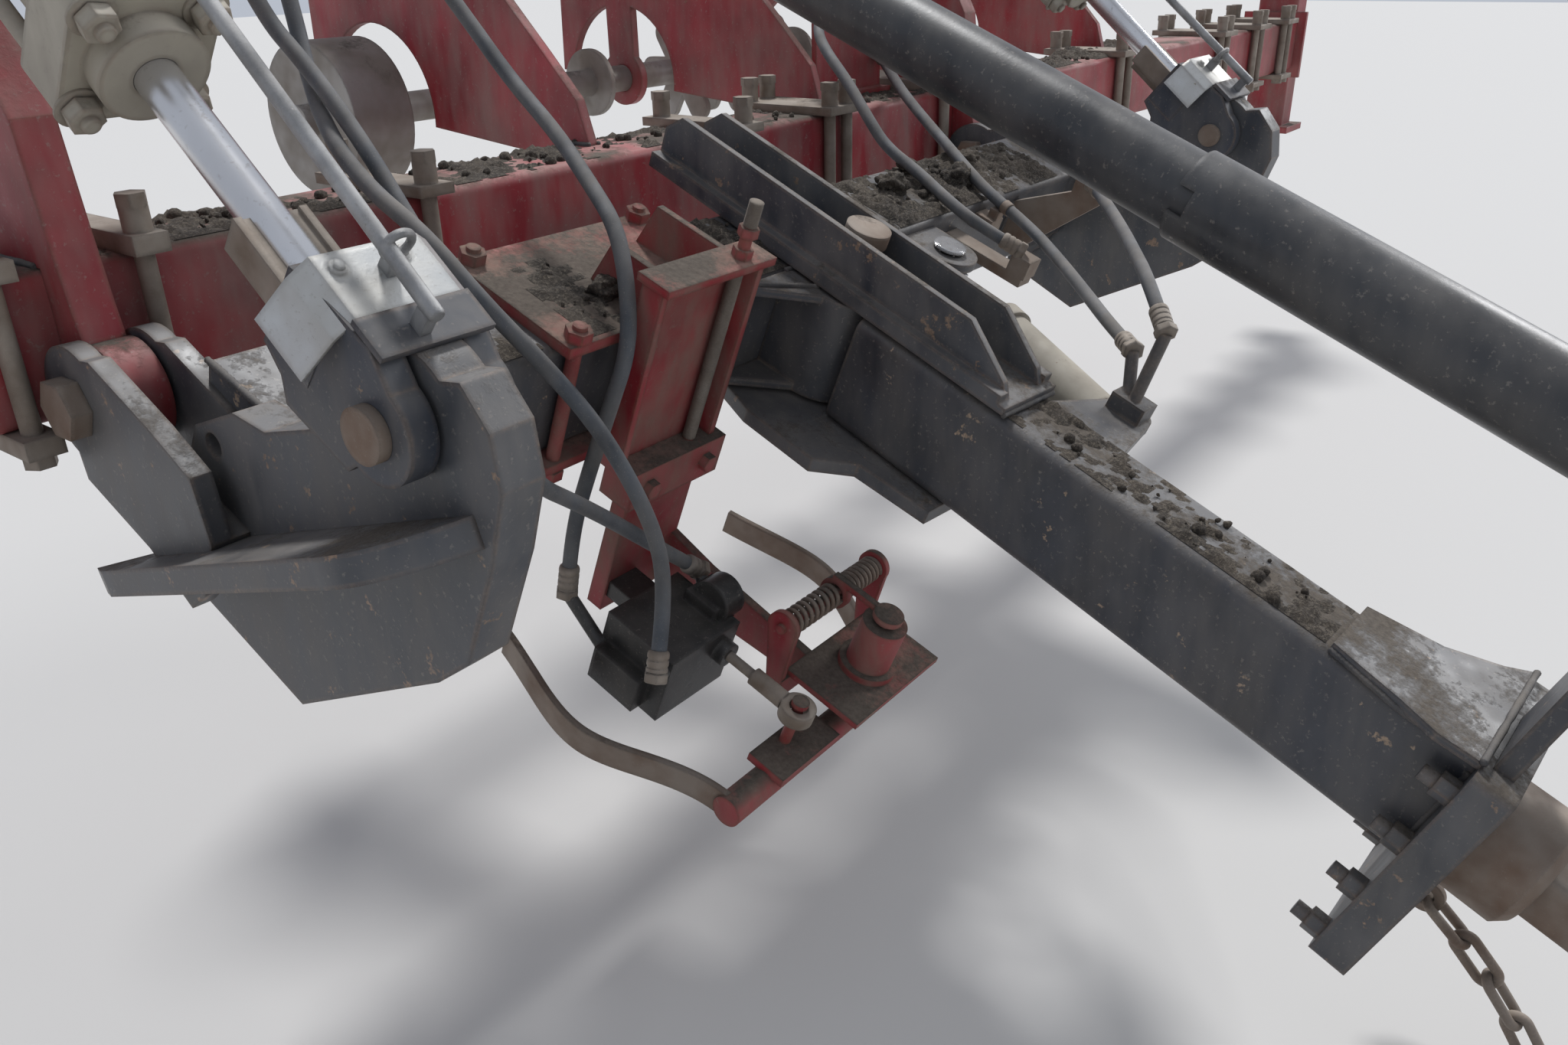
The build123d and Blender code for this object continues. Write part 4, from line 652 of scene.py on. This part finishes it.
def boulder(place, size, seed):
    """A rough lump of soil."""
    work = bmesh.new()
    bmesh.ops.create_icosphere(work, subdivisions=4, radius=1.0)
    for vert in work.verts:
        p = vert.co.copy()
        swell = 1 + 0.42 * noise.fractal(p * 1.4 + Vector((seed, 0, 0)), 0.8, 2.1, 5) + 0.1 * noise.noise(p * 9.0)
        vert.co = place + Vector((p.x * 1.15, p.y, p.z * 0.8)) * (size * swell)
    mesh = bpy.data.meshes.new("boulder")
    work.to_mesh(mesh)
    work.free()
    mesh.polygons.foreach_set("use_smooth", [True] * len(mesh.polygons))
    return mesh


# Large lumps of soil: body, place, size in metres
BOULDERS = [("hitch_frame", (330, 160, 118), 0.026),
            ("hitch_frame", (520, 190, 114), 0.03), ("hitch_frame", (-480, 215, 128), 0.022), ("hitch_frame", (440, 125, 116), 0.02),
            ("hitch_frame", (640, 140, 112), 0.022)]


def soil_sheet(name, corner, along, across, columns, rows, depth, cover, seed):
    """Caked soil on a face: a lumpy sheet that thins out to nothing and dips into the steel at its edge."""
    normal = along.cross(across).normalized()
    if normal.z < 0:
        normal = -normal
    work = bmesh.new()
    grid = {}
    for i in range(columns + 1):
        for j in range(rows + 1):
            place = corner + along * (i / columns) + across * (j / rows)
            edge = min(i, columns - i) / columns * along.length
            edge = min(edge, min(j, rows - j) / rows * across.length)
            slow = noise.fractal(place * 7.0 + Vector((seed, 0, 0)), 0.9, 2.1, 4)
            lumps = noise.fractal(place * 48.0 + Vector((0, seed, 0)), 0.8, 2.2, 5)
            fine = noise.noise(place * 190.0)
            height = (slow * 0.8 + cover + lumps * 0.55 + fine * 0.14) * depth
            height *= min(1.0, edge / 0.012)
            grid[i, j] = (place, height)
    verts = {key: work.verts.new(place + normal * max(height, -0.0006)) for key, (place, height) in grid.items()}
    for i in range(columns):
        for j in range(rows):
            corners = [(i, j), (i + 1, j), (i + 1, j + 1), (i, j + 1)]
            if max(grid[c][1] for c in corners) > 0.0004:
                work.faces.new([verts[c] for c in corners])
    bmesh.ops.delete(work, geom=[v for v in work.verts if not v.link_faces], context="VERTS")
    work.normal_update()
    bmesh.ops.recalc_face_normals(work, faces=work.faces)
    up = sum((f.normal for f in work.faces), Vector())
    if up.dot(normal) < 0:
        bmesh.ops.reverse_faces(work, faces=work.faces)
    mesh = bpy.data.meshes.new(name)
    work.to_mesh(mesh)
    work.free()
    mesh.polygons.foreach_set("use_smooth", [True] * len(mesh.polygons))
    return mesh


# Soil patches: body, a corner, two edges in metres, depth, cover
def soil_patches():
    x = Vector((1, 0, 0))
    y = Vector((0, 1, 0))
    return {
        "frame": [(Vector((-1.0, -0.168, 0.0895)), x * 1.9, y * 0.158, 0.016, -0.06),
                  (Vector((0.9, -0.168, 0.0895)), x * 1.4, y * 0.158, 0.02, 0.1)],
        "hitch_frame": [(hitch(-250, 100, 105.5), x * 0.46, AHEAD * 0.165, 0.022, 0.22),
                        (hitch(215, 100, 105.5), x * 0.62, AHEAD * 0.165, 0.02, 0.18),
                        (hitch(-885, 100, 105.5), x * 0.25, AHEAD * 0.165, 0.016, -0.02),
                        (hitch(-580, 110, 121.5), x * 0.1, AHEAD * 0.18, 0.012, 0.0)],
        "drawbar": [(drawbar(-56, 350, 105.4), ACROSS * 0.112, ALONG * 0.53, 0.018, 0.08),
                    (drawbar(-38, -60, 123.4), ACROSS * 0.076, ALONG * 0.29, 0.016, 0.24),
                    (drawbar(-38, -395, 123.4), ACROSS * 0.076, ALONG * 0.32, 0.014, 0.1)],
    }


def clod_tree():
    """Scatters rough clods over a face."""
    tree = bpy.data.node_groups.new("Clods", "GeometryNodeTree")
    tree.interface.new_socket("Geometry", in_out="INPUT", socket_type="NodeSocketGeometry")
    for label, kind, value in (("Density", "NodeSocketFloat", 900.0), ("Smallest", "NodeSocketFloat", 0.2),
                               ("Largest", "NodeSocketFloat", 1.0), ("Seed", "NodeSocketInt", 3)):
        tree.interface.new_socket(label, in_out="INPUT", socket_type=kind).default_value = value
    tree.interface.new_socket("Material", in_out="INPUT", socket_type="NodeSocketMaterial")
    tree.interface.new_socket("Geometry", in_out="OUTPUT", socket_type="NodeSocketGeometry")
    add = tree.nodes.new
    link = tree.links.new
    start, end = add("NodeGroupInput"), add("NodeGroupOutput")
    scatter = add("GeometryNodeDistributePointsOnFaces")
    link(start.outputs["Geometry"], scatter.inputs["Mesh"])
    link(start.outputs["Density"], scatter.inputs["Density"])
    link(start.outputs["Seed"], scatter.inputs["Seed"])
    ball = add("GeometryNodeMeshIcoSphere")
    ball.inputs["Radius"].default_value = 0.0085
    ball.inputs["Subdivisions"].default_value = 2
    put = add("GeometryNodeInstanceOnPoints")
    link(scatter.outputs["Points"], put.inputs["Points"])
    link(ball.outputs["Mesh"], put.inputs["Instance"])
    size = add("FunctionNodeRandomValue")
    size.data_type = "FLOAT"
    link(start.outputs["Smallest"], size.inputs[2])
    link(start.outputs["Largest"], size.inputs[3])
    power = add("ShaderNodeMath")
    power.operation = "POWER"
    power.inputs[1].default_value = 2.2
    link(size.outputs[1], power.inputs[0])
    link(power.outputs[0], put.inputs["Scale"])
    turn = add("FunctionNodeRandomValue")
    turn.data_type = "FLOAT_VECTOR"
    turn.inputs[1].default_value = (6.28, 6.28, 6.28)
    link(turn.outputs[0], put.inputs["Rotation"])
    real = add("GeometryNodeRealizeInstances")
    link(put.outputs["Instances"], real.inputs["Geometry"])
    rough = add("ShaderNodeTexNoise")
    rough.inputs["Scale"].default_value = 95.0
    rough.inputs["Detail"].default_value = 3.0
    place = add("GeometryNodeInputPosition")
    link(place.outputs[0], rough.inputs["Vector"])
    shift = add("ShaderNodeVectorMath")
    shift.operation = "SUBTRACT"
    shift.inputs[1].default_value = (0.5, 0.5, 0.5)
    link(rough.outputs["Color"], shift.inputs[0])
    small = add("ShaderNodeVectorMath")
    small.operation = "SCALE"
    small.inputs["Scale"].default_value = 0.009
    link(shift.outputs[0], small.inputs[0])
    move = add("GeometryNodeSetPosition")
    link(real.outputs["Geometry"], move.inputs["Geometry"])
    link(small.outputs[0], move.inputs["Offset"])
    paint = add("GeometryNodeSetMaterial")
    link(move.outputs["Geometry"], paint.inputs["Geometry"])
    link(start.outputs["Material"], paint.inputs["Material"])
    link(paint.outputs["Geometry"], end.inputs["Geometry"])
    return tree


class HITCH_OT_soil(bpy.types.Operator):
    """Cakes soil on the faces that look up and scatters clods on it"""
    bl_idname = "hitch.soil"
    bl_label = "Soil"

    def execute(self, context):
        tree = clod_tree()
        sockets = {item.name: item.identifier for item in tree.interface.items_tree if item.in_out == "INPUT"}
        lumps = [boulder(hitch(*place), size, 7.0 * k) for k, (body, place, size) in enumerate(BOULDERS)]
        piece("soil_lumps", joined("soil_lumps", lumps), "soil", "hitch_frame")
        for body, patches in soil_patches().items():
            sheets = []
            base = bmesh.new()
            for k, (corner, along, across, depth, cover) in enumerate(patches):
                columns = int(along.length / 0.0065)
                rows = int(across.length / 0.0065)
                sheets.append(soil_sheet("soil", corner, along, across, columns, rows, depth, cover, 11.0 + 5 * k))
                lift = Vector((0, 0, 0.003))
                inset = 0.06
                a = corner + along * inset + across * 0.1 + lift
                b = corner + along * (1 - inset) + across * 0.1 + lift
                c = corner + along * (1 - inset) + across * 0.9 + lift
                d = corner + along * inset + across * 0.9 + lift
                base.faces.new([base.verts.new(p) for p in (a, b, c, d)])
            piece("soil_" + body, joined("soil_" + body, sheets), "soil", body)
            patch = bpy.data.meshes.new("clod_base")
            base.to_mesh(patch)
            base.free()
            holder = mesh_object("clod_base", patch)
            modifier = holder.modifiers.new("clods", "NODES")
            modifier.node_group = tree
            for label, value in (("Density", 950.0), ("Smallest", 0.28), ("Largest", 1.12), ("Seed", 7),
                                 ("Material", material("soil"))):
                modifier[sockets[label]] = value
            shown = holder.evaluated_get(context.evaluated_depsgraph_get())
            mesh = bpy.data.meshes.new_from_object(shown)
            mesh.name = "clods_" + body
            bpy.data.objects.remove(holder)
            bpy.data.meshes.remove(patch)
            mesh.polygons.foreach_set("use_smooth", [True] * len(mesh.polygons))
            clods = bpy.data.objects.new("clods_" + body, mesh)
            context.scene.collection.objects.link(clods)
            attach(clods, body)
        return {"FINISHED"}


def bead(points, radius=0.0045, seed=0.0):
    """A weld bead with its ripples along straight stretches."""
    path, radii = [], []
    for a, b in zip(points, points[1:]):
        steps = max(2, int((b - a).length / 0.0022))
        for i in range(steps):
            p = a + (b - a) * (i / steps)
            path.append(p)
            ripple = 0.5 + 0.5 * math.sin((b - a).length * i / steps * 2 * math.pi / 0.0065)
            radii.append(radius * (0.8 + 0.2 * ripple + 0.22 * noise.noise(p * 60.0 + Vector((seed, 0, 0)))))
    path.append(points[-1])
    radii.append(radius * 0.5)
    radii[0] = radius * 0.5
    return loft("bead", path, radii, 9)


class HITCH_OT_welds(bpy.types.Operator):
    """Runs weld beads along the joins that show"""
    bl_idname = "hitch.welds"
    bl_label = "Welds"

    def execute(self, context):
        runs = {
            "hitch_frame": [[hitch(-991, 98, 96), hitch(-991, 268, 96)], [hitch(-991, 263, 92), hitch(-991, 263, -60)],
                            [hitch(-136, 272, 106), hitch(22, 272, 106)], [hitch(-240, 272, 106), hitch(-120, 330, 106)],
                            [hitch(92, 272, 106), hitch(5, 330, 106)], [hitch(-885, 263, 92), hitch(-885, 263, -60)],
                            [hitch(-885, 98, 97), hitch(-885, 264, 97)], [hitch(638, 272, 84), hitch(638, 272, 8)],
                            [hitch(382, 273, 46), hitch(426, 273, 46)], [hitch(215, 272, 75), hitch(325, 272, 75)]],
            "drawbar": [[drawbar(-53, -400, 123), drawbar(-53, 330, 123)], [drawbar(53, -400, 123), drawbar(53, 330, 123)],
                        [drawbar(-38, -390, 123), drawbar(-38, 325, 123)], [drawbar(-72, 360, 111), drawbar(72, 360, 111)],
                        [drawbar(-64, 888, 106), drawbar(-72, 930, 106), drawbar(-82, 988, 104), drawbar(-70, 1096, 98)],
                        [drawbar(64, 888, 106), drawbar(92, 990, 106)], [drawbar(-95, 1097, 118), drawbar(176, 1097, 118)],
                        [drawbar(-72, 1096, 84), drawbar(-72, 1096, -70)], [drawbar(72, 355, 84), drawbar(72, 526, 84)]],
            "frame": [[Vector((x + dx, -0.069, 0.091)), Vector((x + dx, -0.003, 0.091))]
                      for x in (-0.057, 0.64, 1.37, 2.1) for dx in (-0.012, 0.012)]
            + [[Vector((x, -0.17, 0.0905)), Vector((x, -0.008, 0.0905))] for x in (-1.058, -1.004, 1.004, 1.058)],
        }
        for body, lines in runs.items():
            meshes = [bead(points, 0.005, 3.0 * k) for k, points in enumerate(lines)]
            piece("welds_" + body, joined("welds_" + body, meshes), "weld", body)
        return {"FINISHED"}


# Nodes whose paint lies under more dust, or has gone
SPECIAL = {"finder_mount": "dusty_red", "finder_column": "dusty_red", "finder_shank": "dusty_red",
           "finder_head": "dusty_red", "feeler_arm": "dusty_red", "mast_clamps": "zinc_bolts",
           "end_plates": "worn_black", "hinge_ears": "worn_black", "side_ribs": "worn_black",
           "belly_plate": "worn_black", "king_channel": "worn_black", "front_flange": "worn_black"}


class HITCH_OT_finishes(bpy.types.Operator):
    """Gives every steel part of the hitch its paint, wear and soil"""
    bl_idname = "hitch.finishes"
    bl_label = "Paint and soil"

    def execute(self, context):
        FINISHES.update(make_finishes(context.scene.hitch_colours))
        record = frame["record"]
        for part in record["subparts"]:
            node = frame["nodes"].get(part["node"])
            if node is None:
                continue
            node.data.materials.clear()
            node.data.materials.append(material(SPECIAL.get(part["node"], part["material_slot"])))
        return {"FINISHED"}


class HITCH_OT_stage(bpy.types.Operator):
    """Adds the floor, the studio light and the camera"""
    bl_idname = "hitch.stage"
    bl_label = "Floor, light and camera"

    def execute(self, context):
        scene = context.scene
        scene.view_settings.view_transform = "Standard"
        height = scene.hitch_sizes.floor
        mesh = bpy.data.meshes.new("floor")
        reach = 30.0
        mesh.from_pydata([(-reach, -reach, height), (reach, -reach, height), (reach, reach, height), (-reach, reach, height)],
                         [], [(0, 1, 2, 3)])
        material = bpy.data.materials.new("floor")
        material.use_nodes = True
        shader = material.node_tree.nodes["Principled BSDF"]
        shader.inputs["Base Color"].default_value = (0.5, 0.49, 0.475, 1)
        shader.inputs["Roughness"].default_value = 0.9
        mesh_object("floor", mesh, material)
        world = bpy.data.worlds.new("studio")
        scene.world = world
        world.use_nodes = True
        back = world.node_tree.nodes["Background"]
        back.inputs["Color"].default_value = (0.82, 0.88, 1.0, 1)
        back.inputs["Strength"].default_value = 0.58
        for name, aim, power, angle in (("key", (-0.45, -0.35, -1.0), 2.7, 10.0), ("rim", (-1.0, 0.3, -0.5), 1.2, 20.0)):
            data = bpy.data.lights.new(name, "SUN")
            data.energy = power
            data.angle = math.radians(angle)
            lamp = bpy.data.objects.new(name, data)
            lamp.rotation_euler = Vector(aim).to_track_quat("-Z", "Y").to_euler()
            scene.collection.objects.link(lamp)
        yaw, pitch, roll = (math.radians(v) for v in (52.302, 25.220, 1.323))
        look = Vector((math.sin(yaw) * math.cos(pitch), math.cos(yaw) * math.cos(pitch), -math.sin(pitch)))
        right = Vector((math.cos(yaw), -math.sin(yaw), 0))
        down = look.cross(right)
        side = right * math.cos(roll) + down * math.sin(roll)
        below = down * math.cos(roll) - right * math.sin(roll)
        data = bpy.data.cameras.new("photo")
        data.sensor_width = 36.0
        data.lens = 28.38
        data.clip_start = 0.02
        camera = bpy.data.objects.new("photo", data)
        scene.collection.objects.link(camera)
        turn = Matrix((side, -below, -look)).transposed().to_4x4()
        turn.translation = Vector((-1.656, -1.708, 0.411))
        camera.matrix_world = turn
        scene.camera = camera
        return {"FINISHED"}


class HITCH_PT_panel(bpy.types.Panel):
    bl_idname = "HITCH_PT_panel"
    bl_label = "Hitch"
    bl_space_type = "VIEW_3D"
    bl_region_type = "UI"
    bl_category = "Hitch"

    def draw(self, context):
        column = self.layout.column()
        for group in (context.scene.hitch_colours, context.scene.hitch_sizes):
            for name in group.__annotations__:
                column.prop(group, name)
        for item in STEPS:
            column.operator(item.bl_idname)


STEPS = [HITCH_OT_stage, HITCH_OT_finishes, HITCH_OT_hoses, HITCH_OT_sleeves, HITCH_OT_springs,
         HITCH_OT_cylinder_trim, HITCH_OT_finder_trim, HITCH_OT_soil, HITCH_OT_welds]


def register():
    for item in [HitchColours, HitchSizes, HITCH_PT_panel] + STEPS:
        bpy.utils.register_class(item)
    bpy.types.Scene.hitch_colours = bpy.props.PointerProperty(type=HitchColours)
    bpy.types.Scene.hitch_sizes = bpy.props.PointerProperty(type=HitchSizes)


def unregister():
    del bpy.types.Scene.hitch_sizes
    del bpy.types.Scene.hitch_colours
    for item in reversed([HitchColours, HitchSizes, HITCH_PT_panel] + STEPS):
        bpy.utils.unregister_class(item)


def main():
    register()
    for item in STEPS:
        area, name = item.bl_idname.split(".")
        getattr(getattr(bpy.ops, area), name)()


if __name__ == "__main__":
    main()
